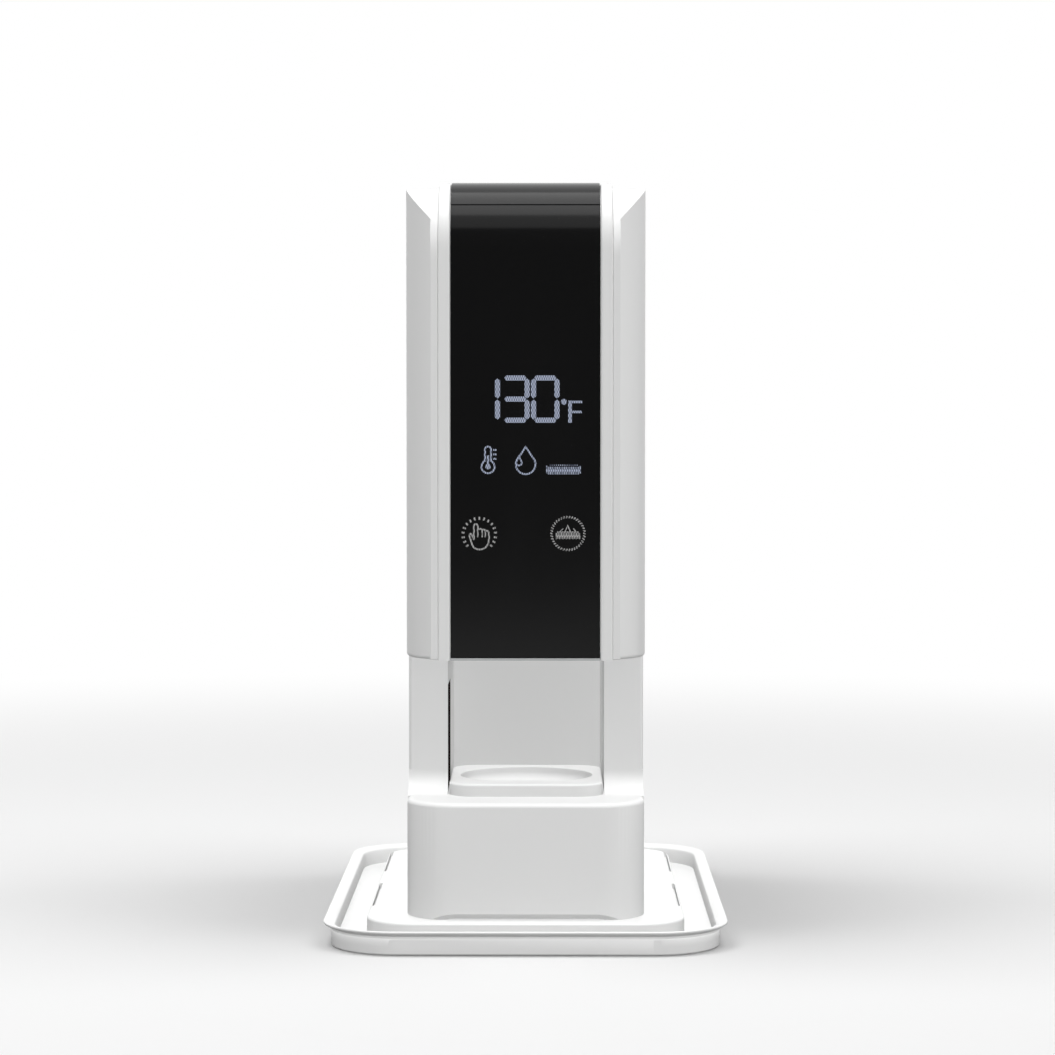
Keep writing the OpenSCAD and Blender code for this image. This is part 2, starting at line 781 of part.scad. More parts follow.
module dish_pad() {
    color(shell_white) at_front() difference() {
        union() {
            translate([0, dish_y - pad_d / 2, base_top])
                soft_block(pad_w, pad_d, pad_h, pad_corner_r, pad_corner_r, 1.2);
            translate([0, dish_y, boss_bottom]) cylinder(r = boss_r, h = base_top - boss_bottom + 1);
        }
        translate([0, dish_y, pad_top - dish_depth + dish_sphere_r]) sphere(r = dish_sphere_r, $fn = 180);
    }
}

module sensor_window() {
    color(gloss_black) at_front() {
        block([-bay_half - wall, pillar_front + 1.5 + fit / 2, base_top + 1.5 + fit / 2],
            [wall, window_l - fit, window_h - fit]);
        block([-bay_half - wall - 1.5, pillar_front + 3, base_top + 1], [1.5, window_l + 2, window_h + 4]);
    }
}

module towel_sensor() {
    x = -bay_half - wall - 1.5;
    color(board_green) at_front() {
        block([x - 3.6, pillar_front + 8, base_top + 12], [1.6, 24, 34]);
        for (z = [base_top + 18, base_top + 38])
            translate([x - 2.1, pillar_front + 20, z]) rod_x(2.5, 2);
    }
}

// Side outline of the side shells, moved inwards by inset
module shell_outline(inset) {
    side_outline(shell_front + inset, body_d - inset, head_bottom - 60, head_top - inset,
        shell_crown_r - inset, rear_crown_r - inset);
}

// Side outline of the trim rails, moved inwards by inset
module rail_outline(inset) {
    side_outline(inset, body_d - inset, head_bottom - 60, rail_top - inset, crown_r - inset,
        rear_crown_r - inset);
}

// Side outline of the black strip, moved inwards by inset
module strip_outline(inset) {
    side_outline(strip_set_back + inset, body_d - inset, head_bottom - 60, strip_top - inset,
        crown_r - inset, rear_crown_r - inset);
}

// Outside of the head between its bottom edge and crown, moved inwards by inset
module shell_block(inset, edge) {
    low = head_bottom + (inset > 0 ? -1 : 0);
    intersection() {
        translate([0, shell_front + inset, head_top + 1]) mirror([0, 0, 1])
            soft_block(head_w - 2 * inset, body_d - shell_front - 2 * inset, head_top + 1 - low,
                shell_corner_r - inset, rear_corner_r - inset, edge);
        across(-head_half, head_half) shell_outline(inset);
    }
}

// One side shell; side is 1 on the machine's right
module side_shell(side) {
    inner = rail_out + fit / 2;
    x0 = side > 0 ? inner : -head_half - 1;
    color(shell_white) at_front() {
        difference() {
            intersection() {
                shell_block(0, 2);
                block([x0, -5, head_bottom - 5], [head_half + 1 - inner, body_d + 10, head_top]);
            }
            shell_hollow();
        }
        for (p = shell_bosses)
            translate([side * (head_half - wall + 0.3), p[0], p[1]]) rotate([0, -90 * side, 0]) difference() {
                cylinder(r = 3.5, h = head_half - wall + 0.3 - chassis_out);
                translate([0, 0, head_half - wall - chassis_out - 9]) cylinder(r = pilot_r, h = 12);
            }
    }
}

// Hollow inside the side shells
module shell_hollow() {
    intersection() {
        translate([0, shell_front + wall, head_bottom - 5]) linear_extrude(head_top)
            plan(head_w - 2 * wall, body_d - shell_front - 2 * wall, shell_corner_r - wall,
                rear_corner_r - wall);
        across(-head_half, head_half) shell_outline(wall);
    }
}

module side_shell_left() {
    side_shell(-1);
}

module side_shell_right() {
    side_shell(1);
}

// Section of a trim rail: x across the rail, y outwards from its inner face
module rail_section() {
    r = rail_edge_r;
    translate([r, rail_t - r]) circle(r = r);
    translate([rail_w - r, rail_t - r]) circle(r = r);
    square([rail_w, rail_t - r]);
    translate([r, 0]) square([rail_w - 2 * r, rail_t]);
}

// One trim rail, up the front, over the top and down the back; side is 1 on the machine's right
module trim_rail(side) {
    straight = rail_top - crown_r - head_bottom;
    back = rail_top - rear_crown_r - head_bottom;
    color(trim_white) at_front() mirror([side > 0 ? 0 : 1, 0, 0]) {
        translate([rail_in, rail_t, head_bottom]) linear_extrude(straight)
            mirror([0, 1]) rail_section();
        translate([rail_in, crown_r, rail_top - crown_r]) crown_bend(crown_r);
        translate([rail_in, crown_r, rail_top - rail_t]) rotate([-90, 0, 0])
            linear_extrude(body_d - crown_r - rear_crown_r) mirror([0, 1]) rail_section();
        translate([rail_in, body_d - rear_crown_r, rail_top - rear_crown_r]) mirror([0, 1, 0])
            crown_bend(rear_crown_r);
        translate([rail_in, body_d - rail_t, head_bottom]) linear_extrude(back) rail_section();
        rail_ledge();
    }
}

// Quarter bend of a trim rail about the X axis, from straight up to straight back
module crown_bend(r) {
    rotate([0, 90, 0]) rotate([0, 0, 180]) rotate_extrude(angle = 90)
        translate([r - rail_t, 0]) rotate([0, 0, 90]) mirror([0, 1]) rail_section();
}

// Ledge along the inside of a trim rail that the panel and the magazine lid rest on
module rail_ledge() {
    web = 0.8;
    difference() {
        union() {
            across(rail_in - eps, rail_in + web) difference() {
                rail_outline(rail_t - 0.5);
                rail_outline(rail_t + fit + ledge_t + 0.8);
            }
            across(rail_in - ledge_w, rail_in + web) difference() {
                strip_outline(panel_t + fit);
                strip_outline(panel_t + fit + ledge_t);
            }
        }
        block([0, -10, head_bottom - 100], [head_half, body_d + 20, 100 + floor_t + fit]);
        block([0, lid_axis_y - 6, head_bottom - 10], [head_half, body_d, head_top]);
    }
}

module trim_rail_left() {
    trim_rail(-1);
}

module trim_rail_right() {
    trim_rail(1);
}

// Band of the strip's outline, panel_t thick, across the strip's width
module strip_band() {
    across(-panel_half, panel_half) difference() {
        strip_outline(0);
        strip_outline(panel_t);
    }
}

// Everything on the front panel's side of the split across the crown, moved by gap
module split_side(gap) {
    far = 400;
    across(-panel_half - 1, panel_half + 1)
        translate([strip_set_back + crown_r, strip_top - crown_r]) rotate(-split_angle)
            translate([-far, gap - far]) square([far * 1.5, far]);
}

module front_panel() {
    color(gloss_black) at_front() difference() {
        intersection() {
            strip_band();
            split_side(-seam / 2);
            block([-panel_half, -5, head_bottom - 10], [panel_w, 5 + crown_r, head_top]);
        }
        block([-panel_half - 1, -10, head_bottom - 100], [panel_w + 2, crown_r + 20, 100 + 1.1]);
    }
}

module magazine_lid() {
    color(gloss_black) at_front() difference() {
        union() {
            difference() {
                intersection() {
                    strip_band();
                    block([-panel_half, -5, (head_bottom + head_top) / 2], [panel_w, 5 + lid_rear, head_top]);
                }
                split_side(seam / 2);
            }
            translate([-knuckle_half, lid_axis_y, lid_axis_z]) rod_x(3.2, 2 * knuckle_half);
        }
        translate([-knuckle_half - 1, lid_axis_y, lid_axis_z]) rod_x(pin_r + run, 2 * knuckle_half + 2);
    }
}

module lid_hinge_pin() {
    color(steel) at_front() translate([-34, lid_axis_y, lid_axis_z]) rod_x(pin_r, 68);
}

// Hollow inner frame of the head, which carries the feed, the tank and the outer shells
module head_chassis() {
    color(inner_grey) at_front() {
        difference() {
            union() {
                chassis_floor();
                chassis_walls();
                chassis_shelves();
                chassis_apron();
            }
            chassis_holes();
        }
        lid_ears();
    }
}

// Floor of the head, with the lip that shows under the front panel
module chassis_floor() {
    gap = wall + 2 * fit;
    translate([0, shell_front + gap, head_bottom]) linear_extrude(floor_t)
        plan(head_w - 2 * gap, body_d - shell_front - 2 * gap - rail_t, shell_corner_r - gap,
            rear_corner_r - gap);
    block([-panel_half, strip_set_back + 0.2, head_bottom], [panel_w, 6, 0.8]);
}

// Two side walls and the wall behind the front panel
module chassis_walls() {
    for (sx = [-1, 1]) across(sx > 0 ? chassis_in : -chassis_out, sx > 0 ? chassis_out : -chassis_in)
        intersection() {
            rail_outline(rail_t + fit);
            translate([0, head_bottom + 1]) square([body_d - rail_t - fit, head_top]);
        }
    across(-chassis_in - 1, chassis_in + 1) intersection() {
        strip_outline(panel_t + ledge_t + 2);
        translate([board_y + 3, head_bottom + 1]) square([2, deck_plate_low - head_bottom]);
    }
}

// Plate round the magazine's mouth, bulkhead before the tank and shelf under it
module chassis_shelves() {
    span = chassis_in + 1;
    block([-span, board_y + 10, deck_plate_low],
        [2 * span, bulkhead_y + bulkhead_t - board_y - 10, deck_plate_t]);
    block([-span, bulkhead_y, shelf_low], [2 * span, bulkhead_t, deck_plate_low + deck_plate_t - shelf_low]);
    block([-span, bulkhead_y, shelf_low], [2 * span, body_d - bulkhead_y - 4, shelf_t]);
}

// Rear wall below the tank, flush with the back
module chassis_apron() {
    block([-panel_half, body_d - rail_t, head_bottom],
        [panel_w, rail_t - 0.2, tank_bottom - head_bottom - 2]);
    block([-chassis_in - 1, body_d - rail_t - fit - wall, head_bottom],
        [2 * chassis_in + 2, wall + fit - run, tank_bottom - head_bottom - 2]);
}

// Holes through the chassis
module chassis_holes() {
    low = head_bottom - 1;
    feed_h = shelf_low - floor_top;
    translate([0, dish_y, low]) cylinder(r = chute_r + fit, h = floor_t + 2);
    translate([0, magazine_y, deck_plate_low - 1]) cylinder(r = magazine_r + fit, h = deck_plate_t + 2);
    translate([0, nozzle_y, low]) cylinder(r = 4.8, h = floor_t + 2);
    translate([-suction_x, dock_y, low]) cylinder(r = hose_out + 1, h = floor_t + 2);
    translate([heater_x, dock_y - 1.5, low]) cylinder(r = hose_out + 2.5, h = floor_t + 2);
    translate([chassis_out + 7, magazine_y - 2, low]) cylinder(r = cable_hole_r, h = floor_t + 2);
    at_posts() translate([0, 0, low]) cylinder(r = screw_hole_r, h = floor_t + 2);
    translate([-chassis_out - 1, dock_y, dock_port_z]) rod_x(hose_out + 0.8, chassis_wall + 3);
    block([chassis_in - 1, rack_front - travel - 6, floor_top],
        [chassis_wall + 2, rack_rear - rack_front + travel + 7.4, feed_h]);
    block([-30, board_y, floor_top + 4], [60, 8, 18]);
    for (sx = [-1, 1], p = shell_bosses)
        translate([sx * (chassis_in - 1), p[0], p[1]]) rotate([0, 90 * sx, 0]) {
            cylinder(r = screw_hole_r, h = chassis_wall + 2);
            cylinder(r = screw_head_r + 0.2, h = 1 + screw_head_t - 0.4);
        }
}

// Two ears that hold the magazine lid's hinge pin
module lid_ears() {
    low = deck_plate_low + deck_plate_t - eps;
    for (sx = [-1, 1]) difference() {
        translate([sx * 32 - 2, lid_axis_y, 0]) {
            block([0, -3.5, low], [4, 5.7, lid_axis_z - low]);
            translate([0, 0, lid_axis_z]) rod_x(2.2, 4);
        }
        translate([sx * 32 - 3, lid_axis_y, lid_axis_z]) rod_x(pin_r + run, 6);
    }
}

// Fixed bar between the two lids; its front is hollowed where the magazine lid's edge swings
module lid_bridge() {
    swing_r = norm([lid_rear - lid_axis_y, strip_top - lid_axis_z]) + seam;
    low = deck_plate_low + deck_plate_t;
    rear = tank_front - 1 - seam;
    color(gloss_black) at_front() difference() {
        block([-panel_half, lid_rear + seam, low], [panel_w, rear - lid_rear - seam, strip_top - low]);
        translate([-panel_half - 1, lid_axis_y, lid_axis_z]) rod_x(swing_r, panel_w + 2);
    }
}

// Short tube that guides a tablet through the head's floor
module drop_chute() {
    color(inner_grey) at_front() translate([0, dish_y, 0]) difference() {
        union() {
            translate([0, 0, head_bottom - 0.5])
                cylinder(r = chute_r, h = deck_top - deck_t - fit / 2 - head_bottom + 0.5);
            translate([0, 0, floor_top]) cylinder(r = chute_r + fit + 0.8, h = 2);
        }
        translate([0, 0, head_bottom - 5]) cylinder(r = pocket_r + 0.6, h = 40);
    }
}

// Deck with side guides that the tablets and the pusher slide on, and a wing under the rack
module feed_deck() {
    half = max(pocket_r + guide_w + 4, heater_x + hose_out + 2.75);
    wing = rack_x + 2;
    guide_h = guide_top - deck_top;
    front = dish_y - pocket_r - guide_w;
    wing_front = rack_front - travel - 4;
    rear = body_d - rail_t - wall - 2 * fit - 0.4;
    link_front = pusher_rear - travel - 22;
    color(acetal_cream) at_front() difference() {
        union() {
            block([-half, front, deck_top - deck_t], [2 * half, rear - front, deck_t]);
            block([0, wing_front, deck_top - deck_t], [wing, rack_rear + 1 - wing_front, deck_t]);
            block([-pocket_r - guide_w, dish_y, deck_top - eps], [guide_w, rear - dish_y, guide_h + eps]);
            block([pocket_r, dish_y, deck_top - eps], [guide_w, link_front - dish_y, guide_h + eps]);
            intersection() {
                translate([0, dish_y, deck_top - eps]) cylinder(r = pocket_r + guide_w, h = guide_h + eps);
                block([-60, dish_y - 60, deck_top - 1], [120, 60, 30]);
            }
            for (x = [-half, half - 2])
                block([x, front + 8, floor_top], [2, rear - front - 8, deck_rise + eps]);
        }
        translate([0, dish_y, deck_top - deck_t - 1]) cylinder(r = pocket_r, h = 30);
    }
}

// Plate that pushes the lowest tablet forward, with the rack that drives it
module towel_pusher() {
    half = pocket_r - 0.4;
    link_d = 20;
    rack_low = max(rack_x - 6, pocket_r + guide_w + 0.6);
    color(acetal_cream) at_front() translate([0, 0, pusher_low]) {
        difference() {
            block([-half, pusher_front - 8, 0], [2 * half, pusher_rear - pusher_front + 8, pusher_h]);
            translate([0, magazine_y, -1]) cylinder(r = pocket_r + 0.3, h = pusher_h + 2);
            for (x = [-1, 1], y = [0, 1])
                block([x * half / 2 - half / 2 + 3, pusher_front + 6 + y * 28, -1],
                    [half - 6, 24, pusher_h - 2]);
        }
        block([half - 1, pusher_rear - link_d, 0],
            [rack_x - 2 - half + 1, link_d, gear_low - pusher_low + gear_h]);
        translate([0, 0, gear_low - pusher_low]) linear_extrude(gear_h) {
            translate([rack_low, rack_front])
                square([rack_x - 1.25 * gear_module - rack_low + eps, rack_count * rack_pitch]);
            for (k = [0:rack_count - 1])
                translate([rack_x, rack_front + (k + 0.5) * rack_pitch]) rack_tooth();
        }
    }
}

// One straight-sided rack tooth that points along +X, centred on its pitch line
module rack_tooth() {
    flank = tan(20);
    half = rack_pitch / 4 - gear_play;
    root = 1.25 * gear_module;
    tip = gear_module;
    polygon([
        [-root, -half - root * flank], [tip, -half + tip * flank],
        [tip, half - tip * flank], [-root, half + root * flank]
    ]);
}

// Point on an involute that leaves base circle rb, where it has reached radius r
function involute_angle(rb, r) =
    let (roll = sqrt(max(r * r / (rb * rb) - 1, 0))) roll * 180 / PI - atan(roll);

// Outline of a spur gear with involute flanks
module gear_outline(m, teeth, play) {
    pitch_r = m * teeth / 2;
    base_r = pitch_r * cos(20);
    tip_r = pitch_r + m;
    root_r = pitch_r - 1.25 * m;
    low_r = max(base_r, root_r);
    half = 90 / teeth - play / pitch_r * 180 / PI + involute_angle(base_r, pitch_r);
    radii = [for (k = [0:5]) low_r + (tip_r - low_r) * k / 5];
    circle(r = root_r + 0.02);
    for (k = [0:teeth - 1]) rotate(360 * k / teeth)
        polygon(concat(
            [[(root_r - 0.3) * cos(half), -(root_r - 0.3) * sin(half)]],
            [for (r = radii) let (a = half - involute_angle(base_r, r)) [r * cos(a), -r * sin(a)]],
            [for (k2 = [5:-1:0]) let (r = radii[k2],
                a = half - involute_angle(base_r, r)) [r * cos(a), r * sin(a)]],
            [[(root_r - 0.3) * cos(half), (root_r - 0.3) * sin(half)]]
        ));
}

// Pinion with the gearmotor's output shaft pressed into it
module pinion() {
    color(acetal_cream) at_front() translate([pinion_x, pinion_y, gear_low]) {
        rotate([0, 0, 180]) linear_extrude(gear_h) gear_outline(gear_module, pinion_teeth, gear_play);
        translate([0, 0, gear_h - eps]) cylinder(r = 3, h = 1);
        translate([0, 0, gear_h]) cylinder(r = shaft_r, h = 5);
    }
}

module gearmotor() {
    low = gear_low + gear_h + 3;
    color(steel) at_front() translate([pinion_x, pinion_y, low]) difference() {
        union() {
            block([-5, -6, 0], [10, 12, 9]);
            intersection() {
                translate([0, 0, 9 - eps]) cylinder(r = 6, h = 15);
                block([-5, -7, 0], [10, 14, 30]);
            }
            translate([0, 0, 23]) cylinder(r = 2.5, h = 1.5);
            for (y = [-4, 4]) block([-1, y - 0.3, 23], [2, 0.6, 3]);
        }
        translate([0, 0, -1]) cylinder(r = shaft_r + run, h = 5);
    }
}

// Bracket on the chassis's right wall that carries the gearmotor
module motor_bracket() {
    low = gear_low + gear_h + 1.6;
    reach = pinion_x + 6 - chassis_out;
    color(steel) at_front() difference() {
        union() {
            block([chassis_out + run, pinion_y - 9, low], [reach, 18, 1.3]);
            block([chassis_out + run, pinion_y - 11, low], [1.3, 22, 26]);
        }
        block([chassis_out, pinion_y - 6.5, low + 1.3], [2, 13, 30]);
        translate([pinion_x, pinion_y, low - 1]) cylinder(r = 2.2, h = 4);
    }
}

// Tube that holds the stack of tablets; a slot shows how many are left
module magazine_tube() {
    color(inner_grey) at_front() difference() {
        union() {
            translate([0, magazine_y, flange_low]) cylinder(r = magazine_r, h = tube_top - flange_low);
            block([-pocket_r - guide_w - 2, magazine_y - magazine_r, flange_low],
                [2 * (pocket_r + guide_w + 2), 2 * magazine_r, flange_t]);
        }
        translate([0, magazine_y, flange_low - 1]) cylinder(r = magazine_bore_r, h = tube_top);
        block([-4, magazine_y - magazine_r - 2, flange_low + 18],
            [8, magazine_r, tube_top - flange_low - 45]);
    }
}

module water_tank() {
    inner = tank_wall;
    depth = tank_rear - tank_front;
    grip_w = 50;
    grip_h = 24;
    grip_z = tank_top - 44;
    color(silicone, 0.45) at_front() {
        difference() {
            union() {
                difference() {
                    translate([0, tank_front, tank_bottom]) linear_extrude(tank_top - tank_bottom)
                        plan(2 * tank_half, depth, tank_corner_r, tank_corner_r);
                    translate([0, tank_front + inner, tank_bottom + 2.5]) linear_extrude(tank_top)
                        plan(2 * (tank_half - inner), depth - 2 * inner, tank_corner_r - inner,
                            tank_corner_r - inner);
                }
                translate([0, dock_y, neck_low]) cylinder(r = neck_r, h = tank_bottom - neck_low + 1);
                intersection() {
                    translate([0, tank_rear - 13, grip_z - inner])
                        block([-grip_w / 2 - inner, 0, 0], [grip_w + 2 * inner, 13, grip_h + 2 * inner]);
                    translate([0, tank_front + 1, tank_bottom]) linear_extrude(tank_top)
                        plan(2 * tank_half - 2, depth - 1, tank_corner_r, tank_corner_r);
                }
                for (sx = [-1, 1]) translate([sx * 30 - 2, tank_pin_y, tank_pin_z]) {
                    rod_x(2.9, 4);
                    block([0, -2.9, tank_top - 6 - tank_pin_z], [4, 5.8, tank_pin_z - tank_top + 6]);
                }
            }
            block([-grip_w / 2, tank_rear - 11, grip_z], [grip_w, 14, grip_h]);
            translate([0, dock_y, neck_low + neck_web]) cylinder(r = neck_bore_r, h = 30);
            translate([0, dock_y, neck_low - 1]) cylinder(r = outlet_r, h = 10);
            translate([0, dock_y, neck_low + 2.6]) rotate_extrude() translate([neck_r, 0]) circle(r = 1);
            translate([-40, tank_pin_y, tank_pin_z]) rod_x(pin_r + run, 80);
        }
    }
}

// Lid and hand cap of the tank, which carries the black strip over the back
module tank_lid() {
    front = tank_front - 1;
    side_t = 2.5;
    color(gloss_black) at_front() difference() {
        union() {
            difference() {
                intersection() {
                    across(-panel_half, panel_half) strip_outline(0);
                    block([-panel_half, front, tank_lid_low], [panel_w, body_d, tank_lid_h + 5]);
                }
                intersection() {
                    across(-panel_half + side_t, panel_half - side_t) strip_outline(panel_t);
                    block([-panel_half, front + side_t, tank_lid_low - 1], [panel_w, body_d, tank_lid_h + 5]);
                }
                block([-panel_half - 1, tank_pin_y - 3.5, tank_lid_low - 1],
                    [panel_w + 2, 10, tank_pin_z - tank_lid_low + 4.2]);
            }
            translate([-27.5, tank_pin_y, tank_pin_z]) rod_x(2.7, 55);
            block([-27.5, tank_pin_y - 1, tank_pin_z], [55, 3.5, 8]);
        }
        translate([-28, tank_pin_y, tank_pin_z]) rod_x(pin_r + run, 56);
    }
}

module tank_lid_pin() {
    color(steel) at_front() translate([-32, tank_pin_y, tank_pin_z]) rod_x(pin_r, 64);
}

// Cup on the shelf that the tank's neck stands in, with the pin that opens the valve
module tank_dock() {
    cup_floor = shelf_top + 3;
    color(inner_grey) at_front() translate([0, dock_y, 0]) {
        difference() {
            union() {
                translate([0, 0, shelf_top]) cylinder(r = dock_cup_r + dock_wall, h = dock_h);
                translate([0, 0, dock_port_z]) rotate([0, -90, 0])
                    cylinder(r = spigot_r, h = chassis_out + 1);
            }
            translate([0, 0, cup_floor]) cylinder(r = dock_cup_r, h = 30);
            translate([0, 0, dock_port_z]) rotate([0, -90, 0])
                translate([0, 0, 5]) cylinder(r = spigot_bore, h = chassis_out + 1);
        }
        translate([0, 0, cup_floor - eps]) cylinder(r = 1.5, h = neck_low - pin_gap - cup_floor);
    }
}

// Spring-loaded valve in the tank's neck; it is drawn shut
module valve_poppet() {
    color(acetal_cream) at_front() translate([0, dock_y, 0]) {
        translate([0, 0, poppet_low]) cylinder(r = poppet_r, h = poppet_t);
        translate([0, 0, neck_low]) cylinder(r = stem_r, h = guide_low + guide_t + 1 - neck_low);
    }
}

module valve_spring() {
    wire_r = 0.45;
    gap = 0.06;
    low = poppet_low + poppet_t + wire_r + gap;
    color(steel) at_front() translate([0, dock_y, low])
        coil(4.2, guide_low - wire_r - gap - low, 3.5, wire_r, 20, 6);
}

// Spider in the tank's floor that guides the valve's stem
module valve_guide() {
    color(acetal_cream) at_front() translate([0, dock_y, guide_low]) difference() {
        union() {
            difference() {
                cylinder(r = neck_bore_r - run, h = guide_t);
                translate([0, 0, -1]) cylinder(r = neck_bore_r - 1.6, h = guide_t + 2);
            }
            cylinder(r = stem_r + 1.5, h = guide_t);
            for (turn = [60, 180, 300]) rotate([0, 0, turn])
                block([0, -0.8, 0], [neck_bore_r - 1, 1.6, guide_t]);
        }
        translate([0, 0, -1]) cylinder(r = stem_r + run, h = guide_t + 2);
    }
}

// Sealing ring in the groove round the tank's neck
module valve_seal() {
    color(rubber_black) at_front() translate([0, dock_y, neck_low + 2.6])
        rotate_extrude() translate([neck_r - 0.25, 0]) circle(r = 0.7);
}

module pump() {
    body_x = -pump_x;
    head_y = dock_y - pump_head_d / 2;
    port_z = pump_z + pump_head_h / 2;
    color(rubber_black) at_front() difference() {
        union() {
            block([body_x - pump_head_w / 2, head_y, pump_z - pump_head_h / 2],
                [pump_head_w, pump_head_d, pump_head_h]);
            translate([body_x, head_y - pump_motor_l, pump_z]) rod_y(pump_motor_r, pump_motor_l + 1);
            translate([body_x, head_y - pump_motor_l - 3, pump_z]) rod_y(5, 4);
            translate([-suction_x, dock_y, port_z - 1]) cylinder(r = spigot_r, h = pump_port_l + 1);
            translate([body_x + pump_head_w / 2 - 1, dock_y, pump_z]) rod_x(spigot_r, pump_port_l + 1);
        }
        translate([-suction_x, dock_y, port_z - 6]) cylinder(r = spigot_bore, h = 30);
        translate([body_x + pump_head_w / 2 - 6, dock_y, pump_z]) rod_x(spigot_bore, 30);
    }
}

// Saddles on the bottom plate that hold the pump's motor
module pump_cradle() {
    saddle_w = 2 * pump_motor_r + 4;
    first = dock_y - pump_head_d / 2 - pump_motor_l + 8;
    color(inner_grey) at_front() difference() {
        union() {
            block([-pump_x - saddle_w / 2, first, plate_top], [saddle_w, 44, 3]);
            for (k = [0, 1])
                block([-pump_x - saddle_w / 2, first + 34 * k, plate_top],
                    [saddle_w, 10, pump_z - plate_top - 3]);
        }
        translate([-pump_x, first - 1, pump_z]) rod_y(pump_motor_r + 0.1, 60);
    }
}

module heater() {
    port_z = pump_z;
    color(steel) at_front() translate([heater_x, dock_y, 0]) difference() {
        union() {
            translate([0, 0, heater_low]) cylinder(r = heater_r, h = heater_h);
            for (z = [heater_low - 3, heater_top - 5]) translate([0, 0, z]) cylinder(r = heater_r + 1, h = 8);
            translate([0, 0, port_z]) rotate([0, -90, 0]) cylinder(r = spigot_r, h = heater_r + pump_port_l);
            translate([0, 0, heater_top]) cylinder(r = spigot_r, h = 3 + pump_port_l);
        }
        translate([0, 0, port_z]) rotate([0, -90, 0]) cylinder(r = spigot_bore, h = 60);
        translate([0, 0, port_z]) cylinder(r = spigot_bore, h = 200);
    }
}

// Upright plate on the bottom plate with two rings round the heater
module heater_bracket() {
    reach = heater_r + 3;
    color(inner_grey) at_front() translate([heater_x, dock_y, 0]) difference() {
        union() {
            block([reach, -11, plate_top], [2, 22, heater_top - plate_top - 16]);
            block([reach, -11, plate_top], [11, 22, 2]);
            for (z = [heater_low + 26, heater_low + 56]) {
                translate([0, 0, z]) cylinder(r = heater_r + 2, h = 7);
                block([0, -6, z], [reach + 1, 12, 7]);
            }
        }
        translate([0, 0, heater_low]) cylinder(r = heater_r + 0.1, h = heater_h);
    }
}

// Two thermostat discs strapped to the heater's front
module thermal_cutout() {
    color(acetal_cream) at_front()
        for (z = [heater_low + 44, heater_low + 72]) translate([heater_x, dock_y - heater_r - fit / 3, z])
            rotate([90, 0, 0]) {
            cylinder(r = 7, h = 5);
            for (x = [-4, 4]) block([x - 1.5, -0.4, 4], [3, 0.8, 6]);
        }
}

// Nozzle in the bay's ceiling; its outlet slants towards the dish
module spray_nozzle() {
    aim = atan((nozzle_y - dish_y) / (nozzle_z - pad_top));
    color(acetal_cream) at_front() translate([0, nozzle_y, 0]) difference() {
        union() {
            translate([0, 0, head_bottom - 1]) cylinder(r = 4.5, h = nozzle_z - head_bottom + 5);
            translate([0, 0, head_bottom - 4]) cylinder(r = 3.6, h = 4);
            translate([0, 0, floor_top]) cylinder(r = 5.5, h = 1);
            translate([0, 0, nozzle_z]) rod_y(spigot_r, 16);
        }
        translate([0, 0, nozzle_z]) rod_y(spigot_bore, 30);
        translate([0, 0, nozzle_z]) rotate([180 - aim, 0, 0]) cylinder(r = 0.9, h = 30);
    }
}

module suction_hose() {
    drop = dock_port_z - hose_bend - (pump_z + pump_head_h / 2 + 2);
    color(silicone) at_front() translate([2 * hose_bend - suction_x, dock_y, dock_port_z]) rotate([0, -90, 0])
        tube_run([[hose_bend], [hose_bend, 90, 180], [drop]], hose_in, hose_out);
}

module pressure_hose() {
    start = -pump_x + pump_head_w / 2 + 2;
    color(silicone) at_front() translate([start, dock_y, pump_z]) rotate([0, 90, 0])
        tube_run([[heater_x - heater_r - 2 - start]], hose_in, hose_out);
}

module outlet_hose() {
    start = heater_top + 5;
    rise = nozzle_z - long_bend - start;
    lead = 30;
    color(silicone) at_front() translate([heater_x, dock_y, start])
        tube_run([[rise], [long_bend, 90, -90], [lead], [long_bend, 90, -90],
            [heater_x - 2 * long_bend], [long_bend, 90, 180],
            [dock_y - nozzle_y - lead - 3 * long_bend - 6]], hose_in, hose_out);
}

// Spring clamps round the hoses' ends
module hose_clamps() {
    color(steel) at_front() {
        translate([2 * hose_bend - suction_x - 4, dock_y, dock_port_z]) rotate([0, 90, 0]) hose_clamp();
        translate([-suction_x, dock_y, pump_z + pump_head_h / 2 + 5]) hose_clamp();
        translate([-pump_x + pump_head_w / 2 + 4, dock_y, pump_z]) rotate([0, 90, 0]) hose_clamp();
        translate([heater_x - heater_r - 7, dock_y, pump_z]) rotate([0, 90, 0]) hose_clamp();
        translate([heater_x, dock_y, heater_top + 7]) hose_clamp();
        translate([0, nozzle_y + 10, nozzle_z]) rotate([-90, 0, 0]) hose_clamp();
    }
}

module hose_clamp() {
    difference() {
        union() {
            cylinder(r = hose_out + 0.6, h = 3);
            for (y = [-1.6, 0.8]) block([hose_out - 0.5, y, 0], [2.4, 0.8, 3]);
        }
        translate([0, 0, -1]) cylinder(r = hose_out + 0.02, h = 5);
    }
}

// Open power supply board on the bottom plate's bosses
module power_supply() {
    z = plate_top + 6;
    color(board_green) at_front() difference() {
        block([-40, 14, z], [80, 88, 1.6]);
        for (sx = [-1, 1], y = [20, 96]) translate([sx * 34, y, z - 1]) cylinder(r = screw_hole_r, h = 4);
    }
    color(rubber_black) at_front() translate([0, 0, z + 1.6 - eps]) {
        block([-18, 44, 0], [32, 28, 22]);
        translate([22, 34, 0]) cylinder(r = 9, h = 26);
        translate([22, 58, 0]) cylinder(r = 6, h = 18);
        block([-30, 44, 0], [4, 34, 24]);
        block([-14, 84, 0], [30, 10, 11]);
        block([-10, 18, 0], [24, 12, 9]);
    }
}

